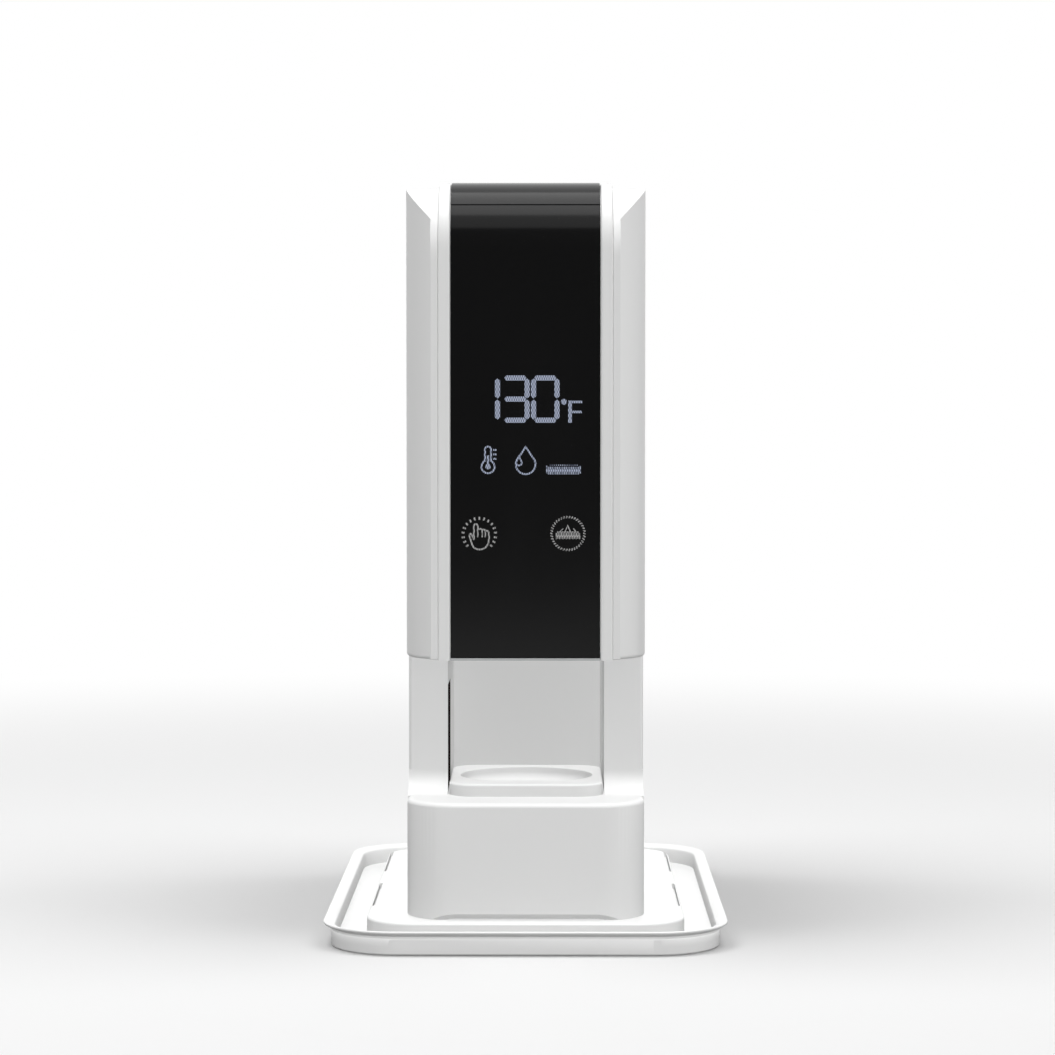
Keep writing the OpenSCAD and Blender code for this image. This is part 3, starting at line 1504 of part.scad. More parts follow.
module control_board() {
    y = bay_back + wall + 4;
    low = plate_top + 30;
    color(board_green) at_front() difference() {
        block([-40, y, low], [80, 1.6, 84]);
        for (x = [-1, 1], z = board_screws)
            translate([x * board_screw_x, y - 1, z]) rod_y(screw_hole_r, 4);
    }
    color(rubber_black) at_front() translate([0, y + 1.6 - eps, low]) {
        block([-20, 0, 30], [14, 1.8, 14]);
        for (k = [0, 1]) block([4 + 18 * k, 0, 4], [15, 7, 19]);
        for (k = [0:2]) block([-30 + 16 * k, 0, 70], [12, 6, 6]);
        block([30, 0, 44], [6, 6, 22]);
        translate([-26, 0, 12]) rod_y(5, 7);
    }
}

module buzzer() {
    color(rubber_black) at_front() translate([12, bay_back + wall + 5.6, plate_top + 78])
        rotate([-90, 0, 0]) difference() {
        cylinder(r = 6, h = 6.5);
        translate([0, 0, 4]) cylinder(r = 1, h = 4);
    }
}

// Board behind the front panel, with the block that holds the lit figures
module display_board() {
    low = key_z - 22;
    high = figure_z + 34;
    color(board_green) at_front() {
        block([-32, board_y, low], [64, 1.6, high - low]);
        for (sx = [-1, 1], z = [low + 8, high - 8])
            translate([sx * 27, board_y + 1.6 - eps, z]) rod_y(2.5, 1.4);
    }
    color(rubber_black) at_front()
        block([-30, strip_set_back + panel_t + 0.2, figure_z - 42],
            [60, board_y - strip_set_back - panel_t - 0.2 + eps, 64]);
}

// Sprung pads that carry each key's touch signal to the board
module touch_springs() {
    color(steel) at_front() for (x = key_x)
        translate([x, strip_set_back + panel_t + 0.6, key_z]) rotate([-90, 0, 0])
            coil(6, board_y - strip_set_back - panel_t - 1.2, 3, 0.45, 20, 6);
}

module chassis_screws() {
    color(steel) at_front() at_posts() translate([0, 0, floor_top])
        screw(screw_r - 0.3, 12, screw_head_r, screw_head_t);
}

module base_screws() {
    color(steel) at_front() {
        at_posts() base_screw();
        at_foot_posts() base_screw();
    }
}

module base_screw() {
    translate([0, 0, plate_bottom + screw_head_t + 0.2]) mirror([0, 0, 1])
        screw(screw_r - 0.3, 12, screw_head_r, screw_head_t);
}

module shell_screws() {
    color(steel) at_front() for (sx = [-1, 1], p = shell_bosses)
        translate([sx * (chassis_in + screw_head_t - 0.4), p[0], p[1]]) rotate([0, -90 * sx, 0])
            screw(screw_r - 0.3, 9, screw_head_r, screw_head_t - 0.4);
}

module cover_screws() {
    color(steel) at_front() at_cover_screws() rotate([-90, 0, 0])
        screw(screw_r - 0.3, 5.5, screw_head_r, screw_head_t);
}

drip_tray();
tray_platform();
lower_housing();
bottom_plate();
rubber_feet();
rear_cover();
dish_pad();
sensor_window();
towel_sensor();
head_chassis();
side_shell_left();
side_shell_right();
trim_rail_left();
trim_rail_right();
front_panel();
display_board();
touch_springs();
magazine_lid();
lid_hinge_pin();
lid_bridge();
magazine_tube();
feed_deck();
towel_pusher();
pinion();
gearmotor();
motor_bracket();
drop_chute();
water_tank();
tank_lid();
tank_lid_pin();
tank_dock();
valve_poppet();
valve_spring();
valve_guide();
valve_seal();
pump();
pump_cradle();
heater();
heater_bracket();
thermal_cutout();
spray_nozzle();
suction_hose();
pressure_hose();
outlet_hose();
hose_clamps();
power_supply();
control_board();
buzzer();
mains_inlet();
switch_housing();
switch_rocker();
chassis_screws();
shell_screws();
base_screws();
cover_screws();
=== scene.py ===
"""Hot towel dispenser: finishes, visible shells, lit front and studio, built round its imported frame.

Lengths are in metres in the frame of the CAD model: +Z up, -Y to the front, and the origin under
the middle of the drip tray. Sizes that a maker would measure are written in millimetres and
multiplied by MM. The camera stands where the photograph was taken from.
"""

import json
import logging
import math
from abc import ABC, abstractmethod
from collections.abc import Callable, Sequence
from dataclasses import dataclass
from enum import Enum
from typing import ClassVar

import bmesh
import bpy
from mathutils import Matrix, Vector


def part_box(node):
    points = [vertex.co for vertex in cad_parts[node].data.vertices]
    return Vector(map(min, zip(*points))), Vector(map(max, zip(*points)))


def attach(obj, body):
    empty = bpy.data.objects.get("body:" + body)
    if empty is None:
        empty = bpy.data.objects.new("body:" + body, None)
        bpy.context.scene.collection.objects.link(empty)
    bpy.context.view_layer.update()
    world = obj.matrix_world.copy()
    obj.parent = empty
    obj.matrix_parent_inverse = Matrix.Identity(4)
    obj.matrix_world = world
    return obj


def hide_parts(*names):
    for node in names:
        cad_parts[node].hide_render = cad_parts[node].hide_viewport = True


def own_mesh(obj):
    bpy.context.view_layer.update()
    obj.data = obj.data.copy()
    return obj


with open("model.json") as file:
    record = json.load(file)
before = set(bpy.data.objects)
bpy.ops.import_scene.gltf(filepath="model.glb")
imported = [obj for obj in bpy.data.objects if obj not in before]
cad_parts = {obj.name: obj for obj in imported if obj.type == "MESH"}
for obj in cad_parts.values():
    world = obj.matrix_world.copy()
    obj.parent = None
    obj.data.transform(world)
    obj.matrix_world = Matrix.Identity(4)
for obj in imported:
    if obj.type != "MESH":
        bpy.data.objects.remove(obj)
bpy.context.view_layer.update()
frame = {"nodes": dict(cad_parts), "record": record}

MM = 0.001
PER_METRE_MM = 1000.0
TURN = 2.0 * math.pi
SHARP_DEG = 30.0
LOG = logging.getLogger("dispenser")
Colour = tuple[float, float, float]
Point = tuple[float, float]
Place = tuple[float, float, float]
Names = tuple[str, ...]
Edges = tuple[tuple[str, float], ...]


class Slot(Enum):
    """The record's material slots."""

    TRAY_WHITE = "tray_white"
    SHELL_WHITE = "shell_white"
    TRIM_WHITE = "trim_white"
    PANEL_BLACK = "panel_black"
    WINDOW_BLACK = "window_black"
    INNER_GREY = "inner_grey"
    RUBBER_BLACK = "rubber_black"
    MOULDED_BLACK = "moulded_black"
    ACETAL = "acetal"
    CLEAR_PLASTIC = "clear_plastic"
    SILICONE = "silicone"
    BOARD_GREEN = "board_green"
    PIN_STEEL = "pin_steel"
    SPRING_STEEL = "spring_steel"
    MOTOR_STEEL = "motor_steel"
    HEATER_ALUMINIUM = "heater_aluminium"


class Signal:
    """An output socket in a node graph. Arithmetic on it adds Math nodes."""

    def __init__(self, graph: "Graph", socket: bpy.types.NodeSocket) -> None:
        """Keeps the graph that the socket belongs to.

        Args:
            graph: The graph that further nodes are added to.
            socket: The output socket.
        """
        self.graph = graph
        self.socket = socket

    def _math(self, operation: str, *terms: "Signal | float") -> "Signal":
        """Adds one Math node on the terms."""
        return self.graph.add("ShaderNodeMath", {"operation": operation}, *terms)

    def __add__(self, other: "Signal | float") -> "Signal":
        """Sum."""
        return self._math("ADD", self, other)

    __radd__ = __add__

    def __sub__(self, other: "Signal | float") -> "Signal":
        """Difference."""
        return self._math("SUBTRACT", self, other)

    def __rsub__(self, other: "Signal | float") -> "Signal":
        """Difference with the number first."""
        return self._math("SUBTRACT", other, self)

    def __mul__(self, other: "Signal | float") -> "Signal":
        """Product."""
        return self._math("MULTIPLY", self, other)

    __rmul__ = __mul__

    def wave(self) -> "Signal":
        """Sine of the value in radians."""
        return self._math("SINE", self)

    def most(self, other: "Signal") -> "Signal":
        """The larger of the two."""
        return self._math("MAXIMUM", self, other)

    def between(self, low: float, high: float) -> "Signal":
        """Smooth step from zero at low to one at high."""
        return self.graph.add("ShaderNodeMapRange", {"interpolation_type": "SMOOTHSTEP"},
                              self, low, high, 0.0, 1.0)


class Graph:
    """Node graph of a material or of the world, with one method that adds any node."""

    RAYS_THAT_SHOW = ("Is Camera Ray", "Is Glossy Ray", "Is Transmission Ray")

    def __init__(self, owner: bpy.types.Material | bpy.types.World) -> None:
        """Empties the owner's graph.

        Args:
            owner: The material or world.
        """
        owner.use_nodes = True
        self.owner = owner
        self.nodes = owner.node_tree.nodes
        self.links = owner.node_tree.links
        self.nodes.clear()

    @classmethod
    def named(cls, name: str) -> "Graph":
        """Starts a new material."""
        return cls(bpy.data.materials.new(name))

    def add(self, kind: str, settings: dict | None = None, *values: object, output: int | str = 0,
            **named: object) -> Signal:
        """Adds one node, sets it up, then fills its sockets.

        Args:
            kind: The node's type.
            settings: Attributes that are set first.
            *values: Numbers, colours or Signals for the first sockets; None leaves one alone.
            output: The output socket to return.
            **named: The same for sockets by name, with _ for a space.

        Returns:
            The node's output.
        """
        node = self.nodes.new(kind)
        for key, value in (settings or {}).items():
            setattr(node, key, value)
        pairs = [(node.inputs[i], v) for i, v in enumerate(values)]
        pairs += [(node.inputs[key.replace("_", " ")], v) for key, v in named.items()]
        for socket, value in pairs:
            if isinstance(value, Signal):
                self.links.new(value.socket, socket)
            elif value is not None:
                socket.default_value = (*value, 1.0) if socket.type == "RGBA" else value
        return Signal(self, node.outputs[output])

    def place(self) -> Signal:
        """Object coordinates."""
        return self.add("ShaderNodeTexCoord", output="Object")

    def noise(self, size_mm: float, detail: float = 2.0, stretch: Place | None = None) -> Signal:
        """Noise from 0 to 1.

        Args:
            size_mm: Size of one blotch.
            detail: Octaves.
            stretch: Factors on the coordinates, for grain that runs one way.

        Returns:
            The noise value.
        """
        coords = self.place()
        if stretch:
            coords = self.add("ShaderNodeMapping", None, coords, Scale=stretch)
        return self.add("ShaderNodeTexNoise", None, coords, Scale=PER_METRE_MM / size_mm, Detail=detail)

    def cells(self, distance: str, size_mm: float) -> Signal:
        """Distance to the nearest cell's middle.

        Args:
            distance: How distance is measured.
            size_mm: Size of one cell.

        Returns:
            The distance, in cells.
        """
        return self.add("ShaderNodeTexVoronoi", {"distance": distance}, self.place(),
                        Scale=PER_METRE_MM / size_mm)

    def blend(self, factor: Signal, low: "Signal | Colour", high: "Signal | Colour") -> Signal:
        """Mixes two colours or colour links by a factor."""
        skipped = [None] * 5
        return self.add("ShaderNodeMix", {"data_type": "RGBA"}, factor, *skipped, low, high, output=2)

    def grey(self, tone: Signal) -> Signal:
        """Grey of a tone."""
        return self.add("ShaderNodeCombineColor", None, tone, tone, tone)

    def bump(self, height: Signal, depth_mm: float, strength: float = 1.0) -> Signal:
        """Bump normal from a height of 0 to 1.

        Args:
            height: The height.
            depth_mm: What a height of 1 stands for.
            strength: How much of it shows.

        Returns:
            The normal.
        """
        return self.add("ShaderNodeBump", None, Strength=strength, Distance=depth_mm * MM, Height=height)

    def seen(self) -> Signal:
        """One for the rays that show the background: from the camera, off gloss and through glass."""
        camera, gloss, glass = (self.add("ShaderNodeLightPath", output=ray) for ray in self.RAYS_THAT_SHOW)
        return camera.most(gloss).most(glass)

    def finish(self, **sockets: object) -> bpy.types.Material:
        """Ends the graph in a Principled shader.

        Args:
            **sockets: Values or Signals for the shader's sockets, with _ for a space.

        Returns:
            The material.
        """
        return self.show(self.add("ShaderNodeBsdfPrincipled", None, **sockets))

    def show(self, shader: Signal) -> bpy.types.Material | bpy.types.World:
        """Links a shader to the output and returns the graph's owner."""
        kind = "World" if isinstance(self.owner, bpy.types.World) else "Material"
        out = self.nodes.new(f"ShaderNodeOutput{kind}")
        self.links.new(shader.socket, out.inputs["Surface"])
        return self.owner


def shade(colour: Colour, factor: float) -> Colour:
    """Scales a colour's brightness."""
    return tuple(min(1.0, c * factor) for c in colour)


class Finish(ABC):
    """What a surface is made of. Each one builds its material once."""

    _made: dict["Finish", bpy.types.Material] = {}

    def material(self) -> bpy.types.Material:
        """The finish's material, built on first use."""
        if self not in Finish._made:
            Finish._made[self] = self.build()
        return Finish._made[self]

    @abstractmethod
    def build(self) -> bpy.types.Material:
        """Builds the material's nodes."""


@dataclass(frozen=True)
class MouldedPlastic(Finish):
    """Injection moulded plastic with a fine spark-eroded grain and a faint drift of tone."""

    name: str
    colour: Colour
    roughness: float = 0.42
    grain_mm: float = 0.35
    grain_depth_mm: float = 0.006
    drift: float = 0.012
    specular: float = 0.5
    coat: float = 0.0
    drift_mm: float = 70.0
    drift_share: float = 0.75
    polish_mm: float = 22.0
    polish_spread: float = 0.08
    speck_spread: float = 0.05
    coat_roughness: float = 0.12
    grain_show: float = 0.6

    def build(self) -> bpy.types.Material:
        """Builds the moulded grain, its drift of tone and its uneven gloss."""
        graph = Graph.named(self.name)
        drift = graph.noise(self.drift_mm, 1.0)
        speck = graph.noise(self.grain_mm * 2.0)
        tone = drift * self.drift_share + speck * (1.0 - self.drift_share)
        colour = graph.blend(tone, shade(self.colour, 1.0 - self.drift), shade(self.colour, 1.0 + self.drift))
        polish = graph.noise(self.polish_mm, 3.0)
        roughness = self.roughness + (polish - 0.5) * self.polish_spread + (speck - 0.5) * self.speck_spread
        grain = graph.noise(self.grain_mm, 3.0)
        return graph.finish(Base_Color=colour, Roughness=roughness, Specular_IOR_Level=self.specular,
                            Coat_Weight=self.coat, Coat_Roughness=self.coat_roughness,
                            Normal=graph.bump(grain, self.grain_depth_mm, self.grain_show))


@dataclass(frozen=True)
class PolishedPlastic(Finish):
    """High-gloss panel plastic with a trace of wiping marks and a slight orange peel."""

    name: str
    colour: Colour
    roughness: float = 0.07
    smear: float = 0.05
    specular: float = 0.3
    wipe_mm: float = 60.0
    wipe_stretch: Place = (1.0, 1.0, 0.35)
    wipe_band: Point = (0.45, 0.75)
    lint_mm: float = 0.9
    lint_band: Point = (0.74, 0.80)
    lint_gain: float = 2.2
    peel_mm: float = 3.0
    peel_depth_mm: float = 0.0015

    def build(self) -> bpy.types.Material:
        """Builds the wiping marks and the orange peel."""
        graph = Graph.named(self.name)
        wipe = graph.noise(self.wipe_mm, 4.0, self.wipe_stretch).between(*self.wipe_band)
        lint = graph.noise(self.lint_mm, 1.0).between(*self.lint_band)
        colour = graph.blend(lint, self.colour, shade(self.colour, self.lint_gain))
        peel = graph.noise(self.peel_mm, 1.0)
        return graph.finish(Base_Color=colour, Roughness=self.roughness + wipe * self.smear,
                            Specular_IOR_Level=self.specular,
                            Normal=graph.bump(peel, self.peel_depth_mm, 0.5))


@dataclass(frozen=True)
class Rubber(Finish):
    """Matt rubber with a powdery bloom."""

    name: str
    colour: Colour
    roughness: float = 0.72
    bloom_mm: float = 9.0
    bloom_band: Point = (0.4, 0.8)
    bloom_share: float = 0.6
    bloom_gain: float = 2.4
    pebble_mm: float = 0.5
    pebble_depth_mm: float = 0.02

    def build(self) -> bpy.types.Material:
        """Builds the bloom and the pebbled skin."""
        graph = Graph.named(self.name)
        bloom = graph.noise(self.bloom_mm, 4.0).between(*self.bloom_band)
        pebble = graph.noise(self.pebble_mm)
        colour = graph.blend(bloom * self.bloom_share, self.colour, shade(self.colour, self.bloom_gain))
        return graph.finish(Base_Color=colour, Roughness=self.roughness + (pebble - 0.5) * 0.2,
                            Specular_IOR_Level=0.35, Normal=graph.bump(pebble, self.pebble_depth_mm, 0.7))


@dataclass(frozen=True)
class ClearPlastic(Finish):
    """Clear or milky moulding that light passes through."""

    name: str
    colour: Colour
    passes: float
    roughness: float
    flow_mm: float = 16.0
    flow_stretch: Place = (1.0, 1.0, 0.2)
    flow_depth_mm: float = 0.05
    haze_mm: float = 5.0
    haze_band: Point = (0.35, 0.75)
    haze_tint: float = 0.94
    haze_spread: float = 0.06

    def build(self) -> bpy.types.Material:
        """Builds flow lines in the wall and an uneven gloss."""
        graph = Graph.named(self.name)
        flow = graph.noise(self.flow_mm, 2.0, self.flow_stretch)
        haze = graph.noise(self.haze_mm, 3.0).between(*self.haze_band)
        colour = graph.blend(haze, self.colour, shade(self.colour, self.haze_tint))
        return graph.finish(Base_Color=colour, Roughness=self.roughness + haze * self.haze_spread,
                            Transmission_Weight=self.passes, IOR=1.45,
                            Normal=graph.bump(flow, self.flow_depth_mm, 0.4))


@dataclass(frozen=True)
class TurnedSteel(Finish):
    """Bare or plated metal with fine working marks along one way."""

    name: str
    colour: Colour
    roughness: float = 0.28
    marks: Place = (1.0, 1.0, 14.0)
    tarnish: float = 0.12
    mark_mm: float = 1.1
    mark_depth_mm: float = 0.006
    mark_spread: float = 0.16
    tarnish_mm: float = 14.0
    tarnish_band: Point = (0.45, 0.8)
    tarnish_dulls: float = 0.1

    def build(self) -> bpy.types.Material:
        """Builds the working marks and a light tarnish."""
        graph = Graph.named(self.name)
        line = graph.noise(self.mark_mm, 3.0, self.marks)
        dull = graph.noise(self.tarnish_mm, 4.0).between(*self.tarnish_band)
        colour = graph.blend(dull, self.colour, shade(self.colour, 1.0 - self.tarnish))
        roughness = self.roughness + (line - 0.5) * self.mark_spread + dull * self.tarnish_dulls
        return graph.finish(Base_Color=colour, Roughness=roughness, Metallic=1.0,
                            Normal=graph.bump(line, self.mark_depth_mm, 0.6))


@dataclass(frozen=True)
class CircuitBoard(Finish):
    """Printed board: green lacquer over copper tracks, with tinned pads."""

    name: str
    lacquer: Colour = (0.012, 0.085, 0.035)
    tin: Colour = (0.62, 0.62, 0.60)
    track_mm: float = 2.4
    tracks_a_cell: float = 3.0
    track_gain: float = 1.9
    track_depth_mm: float = 0.03

    def build(self) -> bpy.types.Material:
        """Builds the tracks as stepped bands and the pads as cells."""
        graph = Graph.named(self.name)
        cells = graph.cells("MANHATTAN", 4 * self.track_mm)
        bands = (cells * (TURN * self.tracks_a_cell)).wave().between(0.1, 0.3)
        pads = 1.0 - graph.cells("CHEBYCHEV", 3 * self.track_mm).between(0.12, 0.16)
        track = graph.blend(bands, self.lacquer, shade(self.lacquer, self.track_gain))
        colour = graph.blend(pads, track, self.tin)
        return graph.finish(Base_Color=colour, Roughness=0.34 - pads * 0.08, Metallic=pads * 0.9,
                            Normal=graph.bump(bands, self.track_depth_mm, 0.5))


@dataclass(frozen=True)
class LitGlyph(Finish):
    """Lit figure behind the panel: its light comes through a screen of fine staggered dots."""

    name: str
    glow: Colour
    dim: Colour
    pitch_mm: float
    row_mm: float

    def build(self) -> bpy.types.Material:
        """Builds the staggered dots that the light is broken into."""
        graph = Graph.named(self.name)
        x, z = (graph.add("ShaderNodeSeparateXYZ", None, graph.place(), output=axis) for axis in "XZ")
        across = (x * (TURN * PER_METRE_MM / self.pitch_mm)).wave()
        down = (z * (TURN * PER_METRE_MM / (2.0 * self.row_mm))).wave()
        dots = (across * down).between(-0.5, 0.5)
        return graph.finish(Base_Color=shade(self.glow, 0.15), Roughness=0.35 + dots * 0.05,
                            Emission_Color=graph.blend(dots, self.dim, self.glow), Emission_Strength=1.0,
                            Specular_IOR_Level=0.2)


WHITE = (0.86, 0.862, 0.858)
FINISHES: dict[Slot, Finish] = {
    Slot.TRAY_WHITE: MouldedPlastic("tray_moulding", WHITE, 0.40, 0.40, 0.007),
    Slot.SHELL_WHITE: MouldedPlastic("housing_moulding", WHITE, 0.42, 0.35, 0.005),
    Slot.TRIM_WHITE: MouldedPlastic("trim_moulding", (0.865, 0.867, 0.863), 0.24, 0.5, 0.002, 0.006,
                                    coat=0.15),
    Slot.PANEL_BLACK: PolishedPlastic("panel_gloss", (0.0075, 0.0075, 0.0077), 0.15, 0.04, 0.22),
    Slot.WINDOW_BLACK: PolishedPlastic("window_tint", (0.016, 0.011, 0.011), 0.30, 0.08, 0.0),
    Slot.INNER_GREY: MouldedPlastic("inner_moulding", (0.50, 0.51, 0.52), 0.55, 0.5, 0.012, 0.03),
    Slot.RUBBER_BLACK: Rubber("foot_rubber", (0.016, 0.016, 0.017)),
    Slot.MOULDED_BLACK: MouldedPlastic("socket_moulding", (0.018, 0.018, 0.019), 0.48, 0.4, 0.012, 0.15),
    Slot.ACETAL: MouldedPlastic("acetal", (0.80, 0.76, 0.66), 0.30, 0.8, 0.004, 0.02),
    Slot.CLEAR_PLASTIC: ClearPlastic("tank_clear", (0.93, 0.96, 0.98), 0.95, 0.05),
    Slot.SILICONE: ClearPlastic("hose_silicone", (0.88, 0.90, 0.91), 0.55, 0.30),
    Slot.BOARD_GREEN: CircuitBoard("board_lacquer"),
    Slot.PIN_STEEL: TurnedSteel("pin_plating", (0.66, 0.66, 0.67), 0.24),
    Slot.SPRING_STEEL: TurnedSteel("spring_wire", (0.58, 0.58, 0.60), 0.32, (9.0, 9.0, 1.0)),
    Slot.MOTOR_STEEL: TurnedSteel("motor_can", (0.60, 0.60, 0.61), 0.30, (1.0, 12.0, 1.0)),
    Slot.HEATER_ALUMINIUM: TurnedSteel("heater_casting", (0.72, 0.72, 0.73), 0.45, (2.0, 2.0, 2.0), 0.2),
}
LIT_FIGURE = LitGlyph("lit_figure", (0.36, 0.40, 0.51), (0.05, 0.06, 0.09), 1.15, 1.3)
# Painted glow for the printed key signs and rings: they emit light although no lamp stands behind them.
PAINTED_KEY_GLOW = LitGlyph("painted_key_glow", (0.34, 0.34, 0.34), (0.10, 0.10, 0.10), 1.25, 1.6)


@dataclass(frozen=True)
class Node:
    """A CAD node: its body, its material slot and its box, all from the frame."""

    name: str

    @property
    def body(self) -> str:
        """Name of the body that the node rides on."""
        bodies = frame["record"]["behaviour"]["bodies"]
        return next(body for body, members in bodies.items() if self.name in members)

    @property
    def slot(self) -> Slot:
        """Material slot that the record gives the node."""
        rows = frame["record"]["subparts"]
        return Slot(next(row["material_slot"] for row in rows if row["node"] == self.name))

    @property
    def low(self) -> Vector:
        """Lowest corner."""
        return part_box(self.name)[0]

    @property
    def high(self) -> Vector:
        """Highest corner."""
        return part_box(self.name)[1]

    @property
    def middle(self) -> Vector:
        """Middle of the box."""
        return (self.low + self.high) / 2


def new_object(name: str, mesh: bpy.types.Mesh) -> bpy.types.Object:
    """Links a mesh to the scene as an object at the origin."""
    obj = bpy.data.objects.new(name, mesh)
    bpy.context.scene.collection.objects.link(obj)
    return obj


def ended(bm: bmesh.types.BMesh, name: str) -> bpy.types.Mesh:
    """Turns a finished closed bmesh into a mesh whose faces point outwards.

    Args:
        bm: The bmesh, which is freed.
        name: The mesh's name.

    Returns:
        The mesh.
    """
    bmesh.ops.recalc_face_normals(bm, faces=bm.faces)
    mesh = bpy.data.meshes.new(name)
    bm.to_mesh(mesh)
    bm.free()
    return mesh


def soften(mesh: bpy.types.Mesh, angle_deg: float = SHARP_DEG) -> None:
    """Shades a mesh smooth and keeps edges over an angle sharp.

    Args:
        mesh: The mesh to shade.
        angle_deg: Angle between faces over which their edge stays sharp.
    """
    bm = bmesh.new()
    bm.from_mesh(mesh)
    for face in bm.faces:
        face.smooth = True
    for edge in bm.edges:
        edge.smooth = len(edge.link_faces) == 2 and edge.calc_face_angle(0.0) < math.radians(angle_deg)
    bm.to_mesh(mesh)
    bm.free()


def break_edges(piece: bpy.types.Object, radius_mm: float, segments: int) -> None:
    """Breaks a piece's hard edges by a small radius.

    Args:
        piece: The piece.
        radius_mm: The radius.
        segments: Faces across it.
    """
    bevel = piece.modifiers.new("broken_edges", "BEVEL")
    bevel.width = radius_mm * MM
    bevel.segments = segments
    bevel.limit_method = "ANGLE"
    bevel.angle_limit = math.radians(SHARP_DEG)
    bevel.harden_normals = True


def install(obj: bpy.types.Object, node: Node, finish: Finish | None = None,
            replaces: bool = False) -> bpy.types.Object:
    """Gives a piece its finish and hangs it on its body.

    Args:
        obj: The piece, in place.
        node: The CAD node whose body and slot it takes.
        finish: Its finish, or None for the slot's own.
        replaces: Whether it stands for the node.

    Returns:
        The piece.
    """
    obj.data.materials.clear()
    obj.data.materials.append((finish or FINISHES[node.slot]).material())
    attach(obj, node.body)
    if replaces:
        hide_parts(node.name)
    LOG.info("%s on %s: %d faces", obj.name, node.body, len(obj.data.polygons))
    return obj


def arc(centre: Point, radius: float, start_deg: float, end_deg: float, steps: int) -> list[Point]:
    """Points along an arc, both ends included.

    Args:
        centre: Centre of the arc.
        radius: Radius.
        start_deg: Angle of the first point, anticlockwise from +X.
        end_deg: Angle of the last point.
        steps: Number of intervals.

    Returns:
        The points.
    """
    spread = [math.radians(start_deg + (end_deg - start_deg) * i / steps) for i in range(steps + 1)]
    return [(centre[0] + radius * math.cos(a), centre[1] + radius * math.sin(a)) for a in spread]


def disc(centre: Point, radius: float, corners: int = 24) -> list[Point]:
    """Outline of a disc."""
    return arc(centre, radius, 0, 360 * (corners - 1) / corners, corners - 1)


def smooth_path(points: Sequence[Point], steps: int = 5) -> list[Point]:
    """Open Catmull-Rom curve through points.

    Args:
        points: The points.
        steps: Intervals between two points.

    Returns:
        The curve's points.
    """
    last = len(points) - 1
    curve: list[Point] = []
    for i in range(last):
        near = [points[min(max(i + k, 0), last)] for k in (-1, 0, 1, 2)]
        for step in range(steps):
            t = step / steps
            weights = (-t + 2 * t * t - t ** 3, 2 - 5 * t * t + 3 * t ** 3,
                       t + 4 * t * t - 3 * t ** 3, t ** 3 - t * t)
            curve.append(tuple(0.5 * sum(w * p[axis] for w, p in zip(weights, near)) for axis in (0, 1)))
    return [*curve, points[-1]]


class Plate:
    """Flat prisms that stand a hair proud of the front panel, drawn by width and height in millimetres."""

    def __init__(self, face_y: float, depth_mm: float = 0.06) -> None:
        """Starts an empty plate.

        Args:
            face_y: Depth of the panel's face.
            depth_mm: How far the prisms stand out of it and reach into it.
        """
        self.front = face_y - depth_mm * MM
        self.back = face_y + depth_mm * MM
        self.bm = bmesh.new()

    def _row(self, points: Sequence[Point], depth: float) -> list[bmesh.types.BMVert]:
        """Adds points at a depth."""
        return [self.bm.verts.new((x * MM, depth, z * MM)) for x, z in points]

    def prism(self, outline: Sequence[Point]) -> None:
        """Adds one prism on an outline that turns either way."""
        area = sum(a[0] * b[1] - b[0] * a[1] for a, b in zip(outline, [*outline[1:], outline[0]]))
        points = list(outline) if area > 0 else list(reversed(outline))
        near, far = self._row(points, self.front), self._row(points, self.back)
        self.bm.faces.new(near)
        self.bm.faces.new(list(reversed(far)))
        for i, vertex in enumerate(near):
            j = (i + 1) % len(near)
            self.bm.faces.new((near[j], vertex, far[i], far[j]))

    def block(self, left: float, low: float, right: float, top: float) -> None:
        """Adds a prism on a rectangle."""
        self.prism([(left, low), (right, low), (right, top), (left, top)])

    def stroke(self, path: Sequence[Point], width: float, closed: bool = False) -> None:
        """Adds a line of even width along a path, as one closed ribbon.

        Args:
            path: The points that it follows.
            width: Its width.
            closed: Whether the last point joins the first.
        """
        left, right = self._sides(path, width / 2, closed)
        left_near, left_far = self._row(left, self.front), self._row(left, self.back)
        right_near, right_far = self._row(right, self.front), self._row(right, self.back)
        count = len(path)
        for i in range(count if closed else count - 1):
            j = (i + 1) % count
            self.bm.faces.new((left_near[i], right_near[i], right_near[j], left_near[j]))
            self.bm.faces.new((left_far[j], right_far[j], right_far[i], left_far[i]))
            self.bm.faces.new((left_near[j], left_far[j], left_far[i], left_near[i]))
            self.bm.faces.new((right_near[i], right_far[i], right_far[j], right_near[j]))
        if not closed:
            for i, turn in ((0, 1), (count - 1, -1)):
                ring = (left_near[i], left_far[i], right_far[i], right_near[i])
                self.bm.faces.new(ring[::turn])

    @staticmethod
    def _sides(path: Sequence[Point], half: float, closed: bool) -> tuple[list[Point], list[Point]]:
        """Offsets a path to both sides, with mitred corners that are kept from running far out."""
        sharpest = 0.4
        left: list[Point] = []
        right: list[Point] = []
        count = len(path)
        for i, here in enumerate(path):
            before = path[i - 1] if i > 0 or closed else here
            after = path[(i + 1) % count] if i < count - 1 or closed else here
            into = Vector((here[0] - before[0], here[1] - before[1]))
            out = Vector((after[0] - here[0], after[1] - here[1]))
            into = into.normalized() if into.length > 0 else out.normalized()
            out = out.normalized() if out.length > 0 else into
            along = (into + out).normalized()
            normal = Vector((-along.y, along.x)) * (half / max(sharpest, along.dot(out)))
            left.append((here[0] + normal.x, here[1] + normal.y))
            right.append((here[0] - normal.x, here[1] - normal.y))
        return left, right


